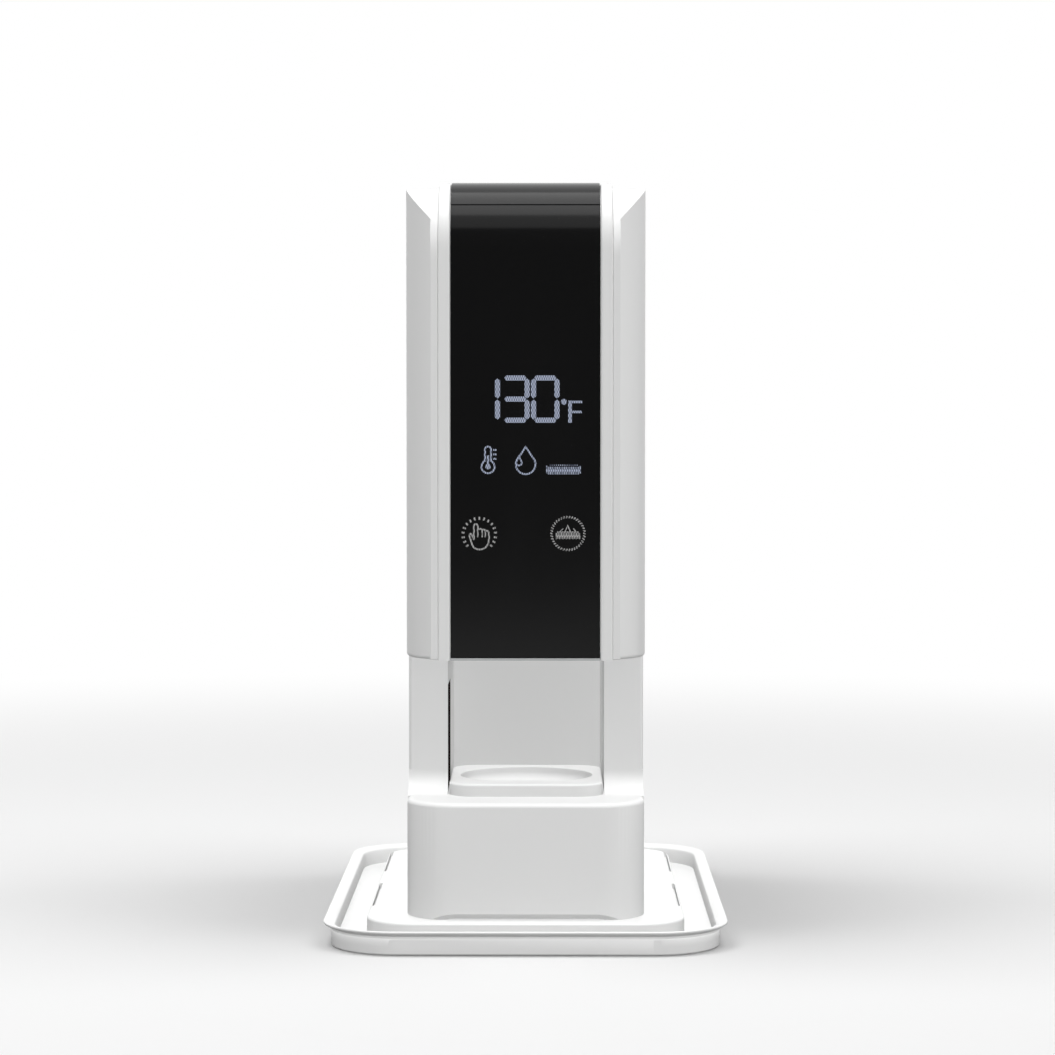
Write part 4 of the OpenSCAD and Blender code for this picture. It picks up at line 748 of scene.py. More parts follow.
def draw_on_panel(name: str, draw: Callable[[Plate], None], finish: Finish) -> bpy.types.Object:
    """Draws a flat piece on the front panel's face.

    Args:
        name: Name of the piece.
        draw: What draws it on a plate.
        finish: Its finish.

    Returns:
        The piece.
    """
    panel = Node("front_panel")
    plate = Plate(panel.low.y)
    draw(plate)
    return install(new_object(name, ended(plate.bm, name)), panel, finish)


class GeometryRecipe:
    """A Geometry Nodes tree built in code, with named inputs and a Set Material node at its end."""

    def __init__(self, name: str) -> None:
        """Starts an empty tree with a geometry output.

        Args:
            name: The tree's name.
        """
        self.tree = bpy.data.node_groups.new(name, "GeometryNodeTree")
        self.tree.interface.new_socket("Geometry", in_out="OUTPUT", socket_type="NodeSocketGeometry")
        self.source = self.tree.nodes.new("NodeGroupInput")
        self.values: dict[str, object] = {}

    def size(self, name: str, value: float | int | Vector,
             kind: str = "NodeSocketFloat") -> bpy.types.NodeSocket:
        """Adds a named input.

        Args:
            name: Its name.
            value: The value that it takes.
            kind: Its socket type.

        Returns:
            The socket inside the tree.
        """
        item = self.tree.interface.new_socket(name, in_out="INPUT", socket_type=kind)
        self.values[item.identifier] = value
        return next(s for s in self.source.outputs if s.identifier == item.identifier)

    def add(self, kind: str, settings: dict | None = None, *values: object,
            **sockets: object) -> bpy.types.NodeSocket:
        """Adds one node and fills its sockets.

        Args:
            kind: The node's type.
            settings: Attributes that are set first.
            *values: Values or sockets for its first inputs.
            **sockets: The same for its inputs by name, with _ for a space.

        Returns:
            The node's first output.
        """
        node = self.tree.nodes.new(kind)
        for key, value in (settings or {}).items():
            setattr(node, key, value)
        pairs = list(zip(node.inputs, values))
        for key, value in sockets.items():
            wanted = key.replace("_", " ")
            pairs.append((next(s for s in node.inputs if s.name == wanted and s.enabled), value))
        for socket, value in pairs:
            if isinstance(value, bpy.types.NodeSocket):
                self.tree.links.new(value, socket)
            else:
                socket.default_value = value
        return node.outputs[0]

    def maths(self, operation: str, *terms: object) -> bpy.types.NodeSocket:
        """Adds a Math node on sockets or numbers."""
        return self.add("ShaderNodeMath", {"operation": operation}, *terms)

    def grow(self, name: str, geometry: bpy.types.NodeSocket, finish: Finish) -> bpy.types.Object:
        """Ends the tree and turns its result into a plain piece.

        Args:
            name: Name of the piece.
            geometry: The geometry to end with.
            finish: The material that it gets.

        Returns:
            The piece, with no modifier left on it.
        """
        real = self.add("GeometryNodeRealizeInstances", Geometry=geometry)
        dressed = self.add("GeometryNodeSetMaterial", Geometry=real, Material=finish.material())
        out = self.tree.nodes.new("NodeGroupOutput")
        self.tree.links.new(dressed, out.inputs[0])
        carrier = new_object(f"{name}_recipe", bpy.data.meshes.new(f"{name}_recipe"))
        modifier = carrier.modifiers.new("recipe", "NODES")
        modifier.node_group = self.tree
        for identifier, value in self.values.items():
            modifier[identifier] = value
        bpy.context.view_layer.update()
        graph = bpy.context.evaluated_depsgraph_get()
        mesh = bpy.data.meshes.new_from_object(carrier.evaluated_get(graph))
        bpy.data.objects.remove(carrier)
        mesh.name = name
        return new_object(name, mesh)


@dataclass(frozen=True)
class RingOfDashes:
    """Dashes along an arc on an upright face, made with Geometry Nodes. Sizes in millimetres.

    A dash is wide along the arc and long along the radius, unless it slants.
    """

    count: int
    radius: float
    spread_deg: float
    wide: float
    long: float
    slant_deg: float = 0.0
    depth: float = 0.12

    def build(self, name: str, centre: Vector, finish: Finish) -> bpy.types.Object:
        """Builds the dashes.

        Args:
            name: Name of the piece.
            centre: Centre of the arc.
            finish: The dashes' finish.

        Returns:
            The piece.
        """
        recipe = GeometryRecipe(f"{name}_recipe")
        number = recipe.size("Count", self.count, "NodeSocketInt")
        radius = recipe.size("Radius", self.radius * MM)
        spread = recipe.size("Spread", math.radians(self.spread_deg))
        slant = recipe.size("Slant", math.radians(self.slant_deg))
        middle = recipe.size("Centre", centre, "NodeSocketVector")
        dash = recipe.add("GeometryNodeMeshCube", Size=Vector((self.wide, self.depth, self.long)) * MM)
        points = recipe.add("GeometryNodePoints", Count=number)
        share = recipe.maths("DIVIDE", recipe.add("GeometryNodeInputIndex"),
                             recipe.maths("SUBTRACT", number, 1.0))
        angle = recipe.maths("MULTIPLY", recipe.maths("SUBTRACT", share, 0.5), spread)
        across = recipe.maths("MULTIPLY", recipe.maths("SINE", angle), radius)
        up = recipe.maths("MULTIPLY", recipe.maths("COSINE", angle), radius)
        spot = recipe.add("ShaderNodeCombineXYZ", X=across, Z=up)
        offset = recipe.add("ShaderNodeVectorMath", {"operation": "ADD"}, spot, middle)
        placed = recipe.add("GeometryNodeSetPosition", Geometry=points, Position=offset)
        lean = recipe.add("ShaderNodeCombineXYZ", Y=recipe.maths("ADD", angle, slant))
        turn = recipe.add("FunctionNodeEulerToRotation", Euler=lean)
        dashes = recipe.add("GeometryNodeInstanceOnPoints", Points=placed, Instance=dash, Rotation=turn)
        return recipe.grow(name, dashes, finish)


@dataclass
class Assembly:
    """Pieces that belong together.

    Mouldings are listed with the radius of their edges in millimetres. Kept nodes only take their finish.
    """

    moulded: Edges = ()
    kept: Names = ()
    done: ClassVar[set[str]] = set()
    weld_mm: ClassVar[float] = 0.002
    sliver_mm: ClassVar[float] = 0.001
    flat_deg: ClassVar[float] = 0.4

    def mould(self, name: str, edge_mm: float) -> bpy.types.Object:
        """Rebuilds a node as a welded moulding with its hard edges broken.

        Args:
            name: The CAD node.
            edge_mm: Radius of its edges, or 0 to leave them.

        Returns:
            The piece.
        """
        mesh = frame["nodes"][name].data.copy()
        mesh.name = f"{name}_skin"
        bm = bmesh.new()
        bm.from_mesh(mesh)
        bmesh.ops.remove_doubles(bm, verts=bm.verts, dist=self.weld_mm * MM)
        bmesh.ops.dissolve_degenerate(bm, edges=bm.edges, dist=self.sliver_mm * MM)
        bmesh.ops.dissolve_limit(bm, angle_limit=math.radians(self.flat_deg), verts=bm.verts, edges=bm.edges)
        bm.to_mesh(mesh)
        bm.free()
        soften(mesh)
        piece = new_object(f"{name}_body", mesh)
        if edge_mm > 0:
            break_edges(piece, edge_mm, 2)
        return self.replace(piece, name)

    def replace(self, piece: bpy.types.Object, name: str) -> bpy.types.Object:
        """Hangs a piece in place of a node."""
        self.done.add(name)
        return install(piece, Node(name), replaces=True)

    def build(self) -> None:
        """Builds the mouldings and dresses the kept nodes."""
        for name, edge_mm in self.moulded:
            self.mould(name, edge_mm)
        for name in self.kept:
            materials = frame["nodes"][name].data.materials
            materials.clear()
            materials.append(FINISHES[Node(name).slot].material())
            self.done.add(name)
            LOG.info("%s dressed", name)


@dataclass
class Tray(Assembly):
    """Drip tray and the platform in it that the machine stands on."""

    moulded: Edges = (("drip_tray", 0.25), ("tray_platform", 0.4))


@dataclass
class LowerHousing(Assembly):
    """Base block, pillars and column in one moulding, with what closes it below."""

    moulded: Edges = (("lower_housing", 0.45),)
    kept: Names = ("bottom_plate", "rubber_feet", "base_screws")


@dataclass
class RearService(Assembly):
    """Rear cover with its vents, the mains inlet and the mains switch."""

    moulded: Edges = (("rear_cover", 0.3), ("mains_inlet", 0.3), ("switch_housing", 0.3),
                      ("switch_rocker", 0.3))
    kept: Names = ("cover_screws",)


@dataclass
class DishPad(Assembly):
    """Loose pad with a round dish, turned in rings from its middle out to its outline. In millimetres."""

    corner_r: float = 13.0
    edge_r: float = 1.2
    dish_r: float = 34.6
    dish_depth: float = 7.0
    rim_r: float = 0.5
    wall_deg: float = 82.0
    floor_turn_r: float = 5.0
    floor_rise: float = 0.15
    wall_batter: float = 0.15
    floor_rings: tuple[float, ...] = (1.0, 6.0, 13.0, 20.0, 25.0)
    boss_r: float = 36.25
    seat: float = 71.0
    spokes: int = 264
    crease_deg: float = 35.0

    def outline(self, half: Point, corner: float, angle: float) -> Point:
        """Point where a ray from the middle meets a rounded rectangle.

        Args:
            half: Half its width and half its depth.
            corner: Radius of its corners.
            angle: Direction of the ray, in radians.

        Returns:
            The point.
        """
        ray = Vector((math.cos(angle), math.sin(angle)))
        reach = min(h / abs(r) if abs(r) > 1e-9 else math.inf for h, r in zip(half, ray))
        turn = Vector((math.copysign(half[0] - corner, ray.x), math.copysign(half[1] - corner, ray.y)))
        spot = ray * reach
        if abs(spot.x) > half[0] - corner and abs(spot.y) > half[1] - corner:
            along = ray.dot(turn)
            reach = along + math.sqrt(max(0.0, along * along - turn.length_squared + corner * corner))
        return (ray.x * reach, ray.y * reach)

    def bowl(self, top: float) -> list[Point]:
        """Radius and height of each ring from the dish's middle to the top of its rim."""
        rise, turn, wall = self.floor_rise, self.floor_turn_r, math.radians(self.wall_deg)
        floor, wall_r = top - self.dish_depth, self.dish_r - self.rim_r - self.wall_batter
        rings = [(r, floor + rise * (r / wall_r) ** 2) for r in self.floor_rings]
        for a in (wall * k / 10 for k in range(11)):
            rings.append((wall_r - turn + turn * math.sin(a), floor + rise + turn - turn * math.cos(a)))
        for a in (math.pi / 2 - wall + wall * k / 6 for k in range(7)):
            rings.append((self.dish_r - self.rim_r * math.cos(a),
                          top - self.rim_r + self.rim_r * math.sin(a)))
        return rings

    def rings(self, half: Point, top: float, low: float) -> list[list[Place]]:
        """Rings of points from the dish's floor over the rim and round the edge to the boss.

        Args:
            half: Half the pad's width and depth.
            top: Height of its top.
            low: Height of the boss's underside.

        Returns:
            The rings, each with one point for each spoke.
        """
        angles = [TURN * i / self.spokes for i in range(self.spokes)]
        dish, boss = ([[(r * math.cos(a), r * math.sin(a), z) for a in angles] for r, z in rounds]
                      for rounds in (self.bowl(top), ((self.boss_r, self.seat), (self.boss_r, low))))
        edge: list[list[Place]] = []
        for lean in (math.pi / 2 * k / 8 for k in range(9)):
            inset = self.edge_r * (1.0 - math.sin(lean))
            shrunk = (half[0] - inset, half[1] - inset)
            height = top - self.edge_r + self.edge_r * math.cos(lean)
            edge.append([(*self.outline(shrunk, self.corner_r - inset, a), height) for a in angles])
        edge.append([(*self.outline(half, self.corner_r, a), self.seat) for a in angles])
        return [*dish, *edge, *boss]

    def build(self) -> None:
        """Builds the pad in place of its CAD node."""
        node = Node("dish_pad")
        middle = node.middle
        half = tuple((node.high - middle).xy / MM)
        bm = bmesh.new()
        rows = [[bm.verts.new((middle.x + x * MM, middle.y + y * MM, z * MM)) for x, y, z in ring]
                for ring in self.rings(half, node.high.z / MM, node.low.z / MM)]
        for inner, outer in zip(rows, rows[1:]):
            for i, vertex in enumerate(inner):
                j = (i + 1) % self.spokes
                bm.faces.new((vertex, outer[i], outer[j], inner[j]))
        bm.faces.new(rows[0])
        bm.faces.new(list(reversed(rows[-1])))
        mesh = ended(bm, "dish_pad_skin")
        soften(mesh, self.crease_deg)
        self.replace(new_object("dish_pad_body", mesh), node.name)


@dataclass
class TowelBay(Assembly):
    """What looks into the bay: the sensor behind its window, the chute and the nozzle."""

    moulded: Edges = (("sensor_window", 0.1), ("drop_chute", 0.2))
    kept: Names = ("towel_sensor", "spray_nozzle")


@dataclass
class Head(Assembly):
    """Shells, trim rails and inner frame of the head, with a flat land on each shell beside its rail.

    Sizes are in millimetres. The lands run up into the crown a hair under the shells' own surface.
    """

    moulded: Edges = (("side_shell_left", 0.35), ("side_shell_right", 0.35), ("trim_rail_left", 0.25),
                      ("trim_rail_right", 0.25), ("head_chassis", 0.2))
    kept: Names = ("chassis_screws", "shell_screws")
    land_inner: float = 43.62
    land_outer: float = 47.5
    land_front: float = -119.45
    land_low: float = 142.9
    land_thick: float = 7.0
    land_edge: float = 0.5
    crown_top: float = 378.95
    crown_r: float = 35.95
    crown_deg: float = 62.0

    def profile(self) -> list[Point]:
        """Side outline of a land, by depth and height."""
        centre = (self.land_front + self.crown_r, self.crown_top - self.crown_r)
        end = 180.0 - self.crown_deg
        return [(self.land_front, self.land_low), *arc(centre, self.crown_r, 180.0, end, 32),
                *arc(centre, self.crown_r - self.land_thick, end, 180.0, 32),
                (self.land_front + self.land_thick, self.land_low)]

    def build_land(self, node: Node) -> None:
        """Builds the land of one shell.

        Args:
            node: The shell.
        """
        sign = math.copysign(1.0, node.middle.x)
        bm = bmesh.new()
        near, far = ([bm.verts.new((sign * x * MM, y * MM, z * MM)) for y, z in self.profile()]
                     for x in (self.land_inner, self.land_outer))
        for i, vertex in enumerate(near):
            j = (i + 1) % len(near)
            bm.faces.new((vertex, near[j], far[j], far[i]))
        bm.faces.new(near)
        bm.faces.new(far)
        mesh = ended(bm, f"{node.name}_land")
        soften(mesh)
        piece = new_object(f"{node.name}_land", mesh)
        break_edges(piece, self.land_edge, 3)
        install(piece, node)

    def build(self) -> None:
        """Builds the head and the lands of its shells."""
        super().build()
        for side in ("left", "right"):
            self.build_land(Node(f"side_shell_{side}"))


@dataclass
class BlackStrip(Assembly):
    """The strip up the front and over the top: front panel, magazine lid, bridge and tank lid."""

    moulded: Edges = (("front_panel", 0.3), ("magazine_lid", 0.3), ("lid_bridge", 0.3), ("tank_lid", 0.3))
    kept: Names = ("lid_hinge_pin", "tank_lid_pin")


class Segment(Enum):
    """The seven bars of a figure, lettered clockwise from the top, with the middle bar last."""

    TOP = "a"
    UPPER_RIGHT = "b"
    LOWER_RIGHT = "c"
    BOTTOM = "d"
    LOWER_LEFT = "e"
    UPPER_LEFT = "f"
    MIDDLE = "g"


FIGURES: dict[int, str] = {0: "abcdef", 1: "bc", 3: "abcdg"}


@dataclass
class Display(Assembly):
    """Lit temperature and its three signs: thermometer, drop and towel. Sizes in millimetres."""

    kept: Names = ("display_board",)
    digit_h: float = 23.5
    digit_w: float = 14.2
    bar_t: float = 2.55
    bar_gap: float = 0.3
    digits_top: float = 284.45
    digit_lefts: tuple[tuple[int, float], ...] = ((1, -26.75), (3, -12.05), (0, 2.8))
    degree: tuple[Point, float] = ((-2.15, -0.6), 1.45)
    unit_left: float = 21.3
    unit_w: float = 6.9
    unit_h: float = 11.0
    unit_stem: float = 1.8
    unit_arm_t: float = 1.2
    unit_arms: tuple[Point, ...] = ((10.35, 0.0), (5.39, -0.2))
    line_t: float = 0.85
    thermometer: Point = (-18.55, 239.15)
    bulb_r: float = 3.25
    stem_r: float = 1.5
    stem_h: float = 8.5
    mercury_r: float = 1.35
    mercury: tuple[float, float, float] = (1.2, 5.6, 1.1)
    ticks: tuple[float, ...] = (8.3, 6.1, 3.9)
    tick: tuple[float, float, float] = (2.65, 4.15, 0.45)
    drop: Point = (0.17, 240.3)
    drop_r: float = 4.87
    drop_h: float = 8.6
    droplet: Point = (-3.35, 0.8)
    droplet_r: float = 1.35
    droplet_h: float = 3.0
    droplet_t: float = 0.8
    towel_left: float = 10.35
    towel_w: float = 17.5
    towel_low: float = 235.3
    towel_h: float = 3.8
    ribs: int = 20
    rib_t: float = 0.56
    end_rise: float = 0.5
    band_t: float = 0.9
    band_inset: float = 0.3
    dashes: int = 14
    dash_inset: float = 1.5
    dash_rise: float = 4.35
    dash_h: float = 0.5

    def bar(self, segment: Segment, left: float) -> list[Point]:
        """Outline of one bar of a figure.

        Args:
            segment: Which bar.
            left: Left edge of the figure.

        Returns:
            The outline, with slanting ends.
        """
        top, low = self.digits_top, self.digits_top - self.digit_h
        right, mid = left + self.digit_w, self.digits_top - self.digit_h / 2
        half, gap = self.bar_t / 2, self.bar_gap
        slant, blunt = half * 0.75, half * 0.9
        if segment in (Segment.TOP, Segment.BOTTOM, Segment.MIDDLE):
            level = {Segment.TOP: top - half, Segment.BOTTOM: low + half, Segment.MIDDLE: mid}[segment]
            start, end = left + half + gap, right - half - gap
            return [(start, level), (start + slant, level + half), (end - slant, level + half),
                    (end, level), (end - slant, level - half), (start + slant, level - half)]
        upper = segment in (Segment.UPPER_LEFT, Segment.UPPER_RIGHT)
        across = right - half if segment in (Segment.UPPER_RIGHT, Segment.LOWER_RIGHT) else left + half
        start, end = (mid + gap, top - half - gap) if upper else (low + half + gap, mid - gap)
        return [(across, start), (across + half, start + blunt), (across + half, end - slant), (across, end),
                (across - half, end - slant), (across - half, start + blunt)]

    def draw_figures(self, plate: Plate) -> None:
        """Draws the figures, the degree dot and the unit's letter."""
        for figure, left in self.digit_lefts:
            for letter in FIGURES[figure]:
                plate.prism(self.bar(Segment(letter), left))
        low, left = self.digits_top - self.digit_h, self.unit_left
        (dot_x, dot_z), dot_r = self.degree
        plate.prism(disc((left + dot_x, low + self.unit_h + dot_z), dot_r))
        plate.block(left, low, left + self.unit_stem, low + self.unit_h)
        for level, shorter in self.unit_arms:
            plate.block(left + self.unit_stem + 0.1, low + level - self.unit_arm_t / 2,
                        left + self.unit_w + shorter, low + level + self.unit_arm_t / 2)

    def draw_thermometer(self, plate: Plate) -> None:
        """Draws the thermometer's glass, mercury and ticks."""
        x, z = self.thermometer
        lean = math.degrees(math.asin(self.stem_r / self.bulb_r))
        glass = [*arc((x, z), self.bulb_r, 90 + lean, 450 - lean, 32),
                 *arc((x, z + self.stem_h), self.stem_r, 0, 180, 12)]
        plate.stroke(glass, self.line_t, closed=True)
        plate.prism(disc((x, z), self.mercury_r))
        start, end, width = self.mercury
        plate.stroke([(x, z + start), (x, z + end)], width)
        near, far, half = self.tick
        for up in self.ticks:
            plate.block(x + near, z + up - half, x + far, z + up + half)

    def draw_drop(self, plate: Plate) -> None:
        """Draws the drop with a small drop at its side."""
        x, z = self.drop
        small = (x + self.droplet[0], z + self.droplet[1])
        for centre, radius, tall, width in (((x, z), self.drop_r, self.drop_h, self.line_t),
                                            (small, self.droplet_r, self.droplet_h, self.droplet_t)):
            lean = math.degrees(math.acos(radius / tall))
            outline = [*arc(centre, radius, 90 + lean, 450 - lean, 36), (centre[0], centre[1] + tall)]
            plate.stroke(outline, width, closed=True)

    def draw_towel(self, plate: Plate) -> None:
        """Draws the folded towel as a ribbed bar under a row of fine dashes."""
        left, low, width = self.towel_left, self.towel_low, self.towel_w
        for i in range(self.ribs):
            start = left + i * width / self.ribs
            rise = self.end_rise if i in (0, self.ribs - 1) else 0.0
            plate.block(start, low + rise, start + self.rib_t, low + self.towel_h + rise)
        level = low + self.towel_h / 2
        plate.stroke([(left + self.band_inset, level), (left + width - self.band_inset, level)], self.band_t)
        step = (width - 2 * self.dash_inset) / self.dashes
        for i in range(self.dashes):
            start = left + self.dash_inset + (i + 0.25) * step
            plate.block(start, low + self.dash_rise, start + step / 2, low + self.dash_rise + self.dash_h)

    def build(self) -> None:
        """Builds the lit pieces and dresses the board behind them."""
        super().build()
        for name, draw in (("lit_temperature", self.draw_figures), ("lit_thermometer", self.draw_thermometer),
                           ("lit_drop", self.draw_drop), ("lit_towel", self.draw_towel)):
            draw_on_panel(name, draw, LIT_FIGURE)


@dataclass
class TouchKeys(Assembly):
    """The two touch keys printed on the panel: a pointing hand and a towel, whose signs and rings get a painted
    glow. Sizes in millimetres.
    """

    kept: Names = ("touch_springs",)
    hand_centre: Point = (-22.9, 205.35)
    towel_centre: Point = (21.2, 205.9)
    line_t: float = 0.8
    hand_ring: RingOfDashes = RingOfDashes(17, 8.1, 265.6, 0.85, 1.5)
    towel_ring: RingOfDashes = RingOfDashes(38, 8.2, 350.5, 0.62, 1.3, 28.0)
    palm: tuple[Point, ...] = ((4.75, 0.9), (4.8, -2.4), (4.2, -4.9), (2.6, -6.7), (0.2, -7.4), (-2.2, -6.8),
                               (-3.5, -5.1), (-4.3, -2.6), (-4.9, -0.3), (-4.3, 0.45), (-3.5, -0.5),
                               (-2.7, -2.3))
    knuckles: tuple[Point, ...] = ((-0.75, 2.5), (0.3, 2.95), (1.5, 2.5), (2.6, 2.45), (3.2, 2.0), (4.3, 1.85))
    fingertip: Point = (-1.72, 4.3)
    finger_r: float = 0.97
    folds: tuple[Point, ...] = ((-0.75, 2.1), (1.45, 2.1), (3.0, 1.7))
    folds_low: float = -1.3
    loops: int = 15
    loops_w: float = 12.4
    loop_share: float = 0.62
    loop_step: float = 0.25
    loops_low: float = -2.8
    loops_top: float = 0.25
    band: tuple[float, float, float] = (6.1, -1.3, 0.9)
    steam: tuple[tuple[Point, ...], ...] = (
        ((-5.4, 0.75), (5.4, 0.75)), ((-1.4, 1.0), (-0.1, 3.9), (1.2, 1.0)),
        ((-3.9, 1.0), (-2.4, 2.5)), ((3.9, 1.0), (2.7, 2.5)))

    def draw_hand(self, plate: Plate) -> None:
        """Draws the pointing hand."""
        cx, cz = self.hand_centre
        finger = arc(self.fingertip, self.finger_r, 180, 0, 10)
        root = (self.fingertip[0] - self.finger_r, self.palm[-1][1])
        outline = [*smooth_path(self.palm), root, *finger, *self.knuckles]
        plate.stroke([(cx + x, cz + z) for x, z in outline], self.line_t, closed=True)
        for x, top in self.folds:
            plate.stroke([(cx + x, cz + top), (cx + x, cz + self.folds_low)], self.line_t * 0.8)

    def draw_towel(self, plate: Plate) -> None:
        """Draws the towel bar with rising steam above it."""
        cx, cz = self.towel_centre
        step = self.loops_w / self.loops
        for i in range(self.loops):
            start, rise = cx - self.loops_w / 2 + (i + 0.2) * step, self.loop_step * (i % 2)
            plate.block(start, cz + self.loops_low + rise, start + step * self.loop_share,
                        cz + self.loops_top + rise)
        half, level, width = self.band
        plate.stroke([(cx - half, cz + level), (cx + half, cz + level)], width)
        for path in self.steam:
            plate.stroke([(cx + x, cz + z) for x, z in path], self.line_t * 0.6)

    def build(self) -> None:
        """Builds the keys' signs and rings, and dresses the touch springs behind them."""
        super().build()
        # The printed signs and rings are given a painted glow of their own, so they stay bright without any
        # lamp.
        draw_on_panel("hand_sign", self.draw_hand, PAINTED_KEY_GLOW)
        draw_on_panel("towel_sign", self.draw_towel, PAINTED_KEY_GLOW)
        panel = Node("front_panel")
        for name, ring, (x, z) in (("hand_key_ring", self.hand_ring, self.hand_centre),
                                   ("towel_key_ring", self.towel_ring, self.towel_centre)):
            install(ring.build(name, Vector((x * MM, panel.low.y, z * MM)), PAINTED_KEY_GLOW), panel, PAINTED_KEY_GLOW)


@dataclass
class TowelFeed(Assembly):
    """Magazine and the rack and pinion feed under it."""

    moulded: Edges = (("magazine_tube", 0.2), ("feed_deck", 0.2), ("towel_pusher", 0.2))
    kept: Names = ("pinion", "gearmotor", "motor_bracket")


@dataclass
class WaterTank(Assembly):
    """Lift-out tank, the dock below it and its shut-off valve."""

    moulded: Edges = (("water_tank", 0.25), ("tank_dock", 0.2))
    kept: Names = ("valve_poppet", "valve_guide", "valve_seal")
    valve_lift_mm: float = 3.0

    def build(self) -> None:
        """Builds the tank and the spring, which gets a mesh of its own."""
        super().build()
        node = Node("valve_spring")
        spring = self.mould(node.name, 0.0)
        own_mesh(spring)


@dataclass
class WaterCircuit(Assembly):
    """Pump, heater and the hoses between them."""

    kept: Names = ("pump", "pump_cradle", "heater", "heater_bracket", "thermal_cutout", "suction_hose",
                   "pressure_hose", "outlet_hose", "hose_clamps")


@dataclass
class Electrics(Assembly):
    """Power supply, control board and buzzer."""

    kept: Names = ("power_supply", "control_board", "buzzer")


class Reach(Enum):
    """What a lamp lights. A wash without shadows leaves the floor out, to keep the object's shadow on it."""

    EVERYTHING = "everything"
    OBJECT = "object"
    FLOOR = "floor"


@dataclass(frozen=True)
class Lamp:
    """One soft lamp: a rectangular bank where it has a size, else an even wash from one side."""

    name: str
    place: Place
    aim: Place
    power: float
    size: tuple[float, float] | None = None
    reach: Reach = Reach.EVERYTHING
    in_diffuse: bool = True
    in_gloss: bool = False
    bounces: int | None = None
    softness_deg: float = 30.0

    def build(self, floor: bpy.types.Object) -> None:
        """Adds the lamp to the scene.

        Args:
            floor: The floor, which a wash leaves out and which the floor's own lamps alone light.
        """
        data = bpy.data.lights.new(self.name, "AREA" if self.size else "SUN")
        data.energy = self.power
        if self.reach is Reach.OBJECT:
            data.use_shadow = False
        if self.bounces is not None:
            data.cycles.max_bounces = self.bounces
        if self.size:
            data.shape = "RECTANGLE"
            data.size, data.size_y = self.size
        else:
            data.angle = math.radians(self.softness_deg)
        lamp = bpy.data.objects.new(self.name, data)
        lamp.location = self.place
        lamp.rotation_euler = (Vector(self.aim) - Vector(self.place)).to_track_quat("-Z", "Y").to_euler()
        lamp.visible_diffuse = self.in_diffuse
        lamp.visible_glossy = self.in_gloss
        bpy.context.scene.collection.objects.link(lamp)
        if self.reach is not Reach.EVERYTHING:
            told = bpy.data.collections.new(f"{self.name}_reach")
            told.objects.link(floor)
            if self.reach is Reach.OBJECT:
                told.collection_objects[0].light_linking.link_state = "EXCLUDE"
            lamp.light_linking.receiver_collection = told


MIDDLE = (0.0, 0.0, 0.2)
FOOT = (0.0, 0.0, 0.1)
BANK = (1.2, 1.6)
CEILING = (1.5, 2.0)
FLOOR_BANK = (1.3, 1.3)
LAMPS = (
    Lamp("overhead", (0.0, -0.25, 2.4), (0.0, -0.25, 0.0), 2.2, CEILING, in_gloss=True),
    Lamp("glint", (0.0, -0.25, 2.3), (0.0, -0.25, 0.0), 17.0, CEILING, in_diffuse=False, in_gloss=True),
    Lamp("right_bank", (2.2, -0.6, 0.9), MIDDLE, 1.9, BANK, in_gloss=True),
    Lamp("left_bank", (-2.2, -0.6, 0.9), MIDDLE, 0.6, BANK, in_gloss=True),
    Lamp("top_wash", (0.0, 0.0, 2.0), (0.0, 0.0, 0.0), 2.3, reach=Reach.OBJECT, bounces=0),
    Lamp("front_wash", (0.0, -2.0, 0.6), FOOT, 0.95, reach=Reach.OBJECT),
    Lamp("left_wash", (-2.0, -0.6, 0.6), FOOT, 0.62, reach=Reach.OBJECT, bounces=0),
    Lamp("right_wash", (2.0, -1.2, 0.6), FOOT, 0.9, reach=Reach.OBJECT, bounces=0),
    Lamp("rear_wash", (0.0, 2.0, 0.6), FOOT, 0.9, reach=Reach.OBJECT, bounces=0),
    Lamp("floor_left", (-0.85, -0.1, 2.05), FOOT, 28.5, FLOOR_BANK, reach=Reach.FLOOR, bounces=0),
    Lamp("floor_right", (0.85, -0.1, 2.05), FOOT, 23.5, FLOOR_BANK, reach=Reach.FLOOR, bounces=0),
)


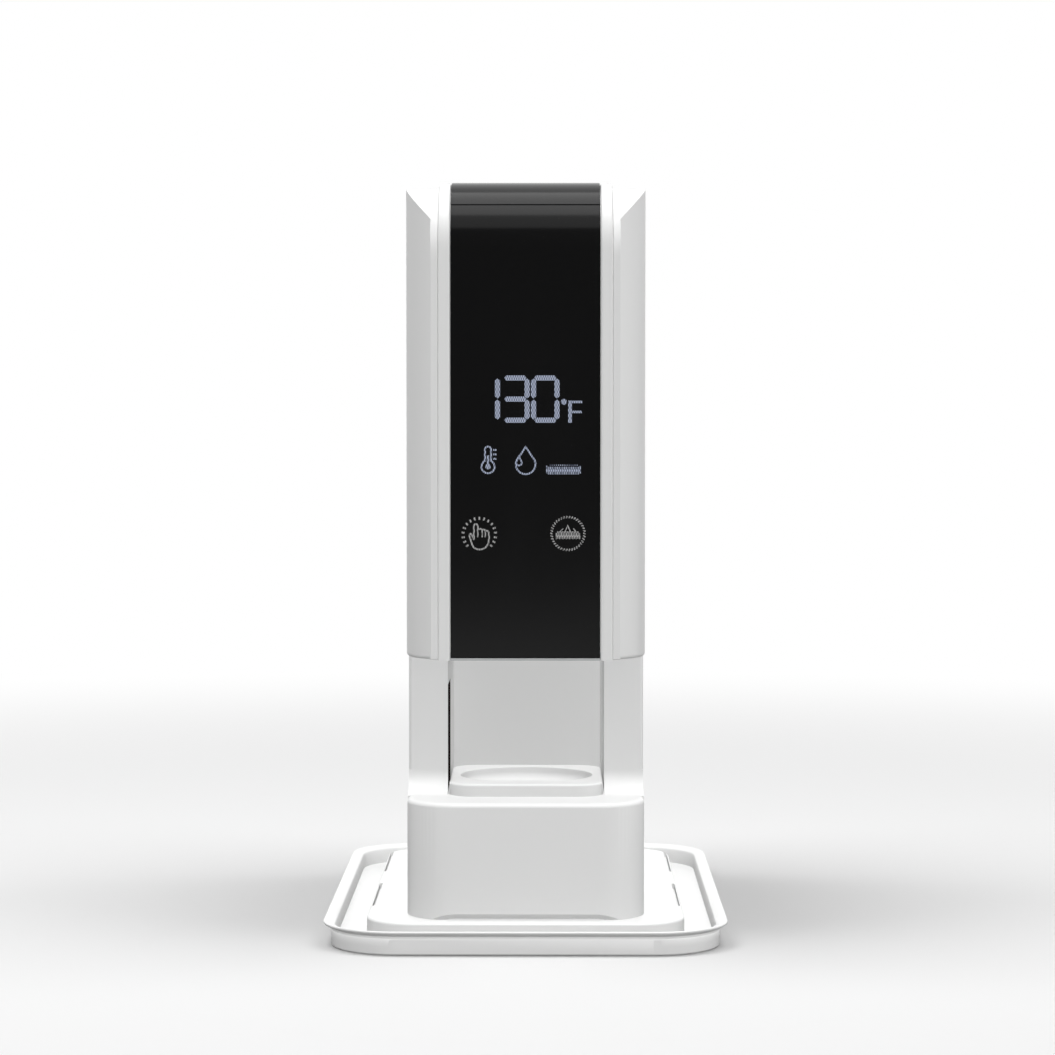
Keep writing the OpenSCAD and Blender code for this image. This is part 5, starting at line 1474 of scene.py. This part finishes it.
@dataclass
class Studio:
    """Pale floor that fades to white, soft light, and the camera at the photograph's place."""

    camera_place: Place = (0.01209, -1.6656, 0.27039)
    tilt_down_deg: float = 2.279
    turn_left_deg: float = 0.4085
    lens_mm: float = 106.1
    sensor_mm: float = 36.0
    clip_end: float = 60.0
    sky: float = 0.17
    floor_tone: float = 0.86
    floor_bounce: float = 0.6
    floor_r: float = 2.2
    fade_from: float = 0.30
    fade_to: float = 1.5
    flag_size: tuple[float, float] = (3.4, 2.0)
    flag_y: float = -2.4

    def camera(self) -> None:
        """Sets up the camera."""
        data = bpy.data.cameras.new("photo_camera")
        data.lens = self.lens_mm
        data.sensor_width = self.sensor_mm
        data.sensor_fit = "HORIZONTAL"
        data.clip_end = self.clip_end
        obj = bpy.data.objects.new("photo_camera", data)
        obj.location = self.camera_place
        obj.rotation_euler = (math.radians(90.0 - self.tilt_down_deg), 0.0, math.radians(self.turn_left_deg))
        bpy.context.scene.collection.objects.link(obj)
        bpy.context.scene.camera = obj

    def world(self) -> None:
        """Even pale surroundings, which show as white."""
        world = bpy.data.worlds.new("studio")
        bpy.context.scene.world = world
        graph = Graph(world)
        dim, white = (graph.add("ShaderNodeBackground", None, (1.0, 1.0, 1.0), strength)
                      for strength in (self.sky, 1.0))
        graph.show(graph.add("ShaderNodeMixShader", None, graph.seen(), dim, white))

    def floor(self) -> bpy.types.Object:
        """Builds the large plain floor, which goes white with distance."""
        sides = 96
        mesh = bpy.data.meshes.new("floor")
        rim = disc((0.0, 0.0), self.floor_r, sides)
        mesh.from_pydata([(x, y, 0.0) for x, y in rim], [], [tuple(range(sides))])
        obj = new_object("floor", mesh)
        graph = Graph.named("floor_paint")
        distance = graph.add("ShaderNodeVectorMath", {"operation": "LENGTH"}, graph.place(), output="Value")
        away = distance.between(self.fade_from, self.fade_to)
        seen = graph.seen()
        mottle = graph.noise(400.0)
        tone = seen * (self.floor_tone - self.floor_bounce) + self.floor_bounce + (mottle - 0.5) * 0.01
        cover = graph.add("ShaderNodeBsdfDiffuse", None, graph.grey(tone))
        white = graph.add("ShaderNodeEmission", None, (1.0, 1.0, 1.0), 1.0)
        obj.data.materials.append(graph.show(graph.add("ShaderNodeMixShader", None, away * seen, cover, white)))
        return obj

    def flag(self) -> None:
        """Hangs a dark card in front, which only gloss sees, so that the black panel reads black."""
        half, height, depth = self.flag_size[0] / 2, self.flag_size[1], self.flag_y
        corners = [(half, depth, 0.0), (-half, depth, 0.0), (-half, depth, height), (half, depth, height)]
        mesh = bpy.data.meshes.new("flag")
        mesh.from_pydata(corners, [], [(0, 1, 2, 3)])
        card = new_object("flag", mesh)
        graph = Graph.named("flag_cloth")
        tone = graph.noise(3.0) * 0.01 + 0.01
        card.data.materials.append(graph.show(graph.add("ShaderNodeBsdfDiffuse", None, graph.grey(tone))))
        card.visible_camera = card.visible_diffuse = card.visible_shadow = card.visible_transmission = False

    def build(self) -> None:
        """Builds the floor, the lights and the camera."""
        bpy.context.scene.view_settings.view_transform = "Standard"
        self.camera()
        self.world()
        floor = self.floor()
        self.flag()
        for lamp in LAMPS:
            lamp.build(floor)
        LOG.info("studio ready: %d lamps", len(LAMPS))


def main() -> None:
    """Builds the model and its studio.

    Raises:
        RuntimeError: If a CAD node has been left without its looks.
    """
    logging.basicConfig(level=logging.INFO, format="%(name)s: %(message)s")
    for assembly in (Tray(), LowerHousing(), RearService(), DishPad(), TowelBay(), Head(), BlackStrip(),
                     Display(), TouchKeys(), TowelFeed(), WaterTank(), WaterCircuit(), Electrics()):
        assembly.build()
        LOG.info("%s ready", type(assembly).__name__)
    left = set(frame["nodes"]) - Assembly.done
    if left:
        raise RuntimeError(f"no looks yet for {sorted(left)}")
    Studio().build()


if __name__ == "__main__":
    main()
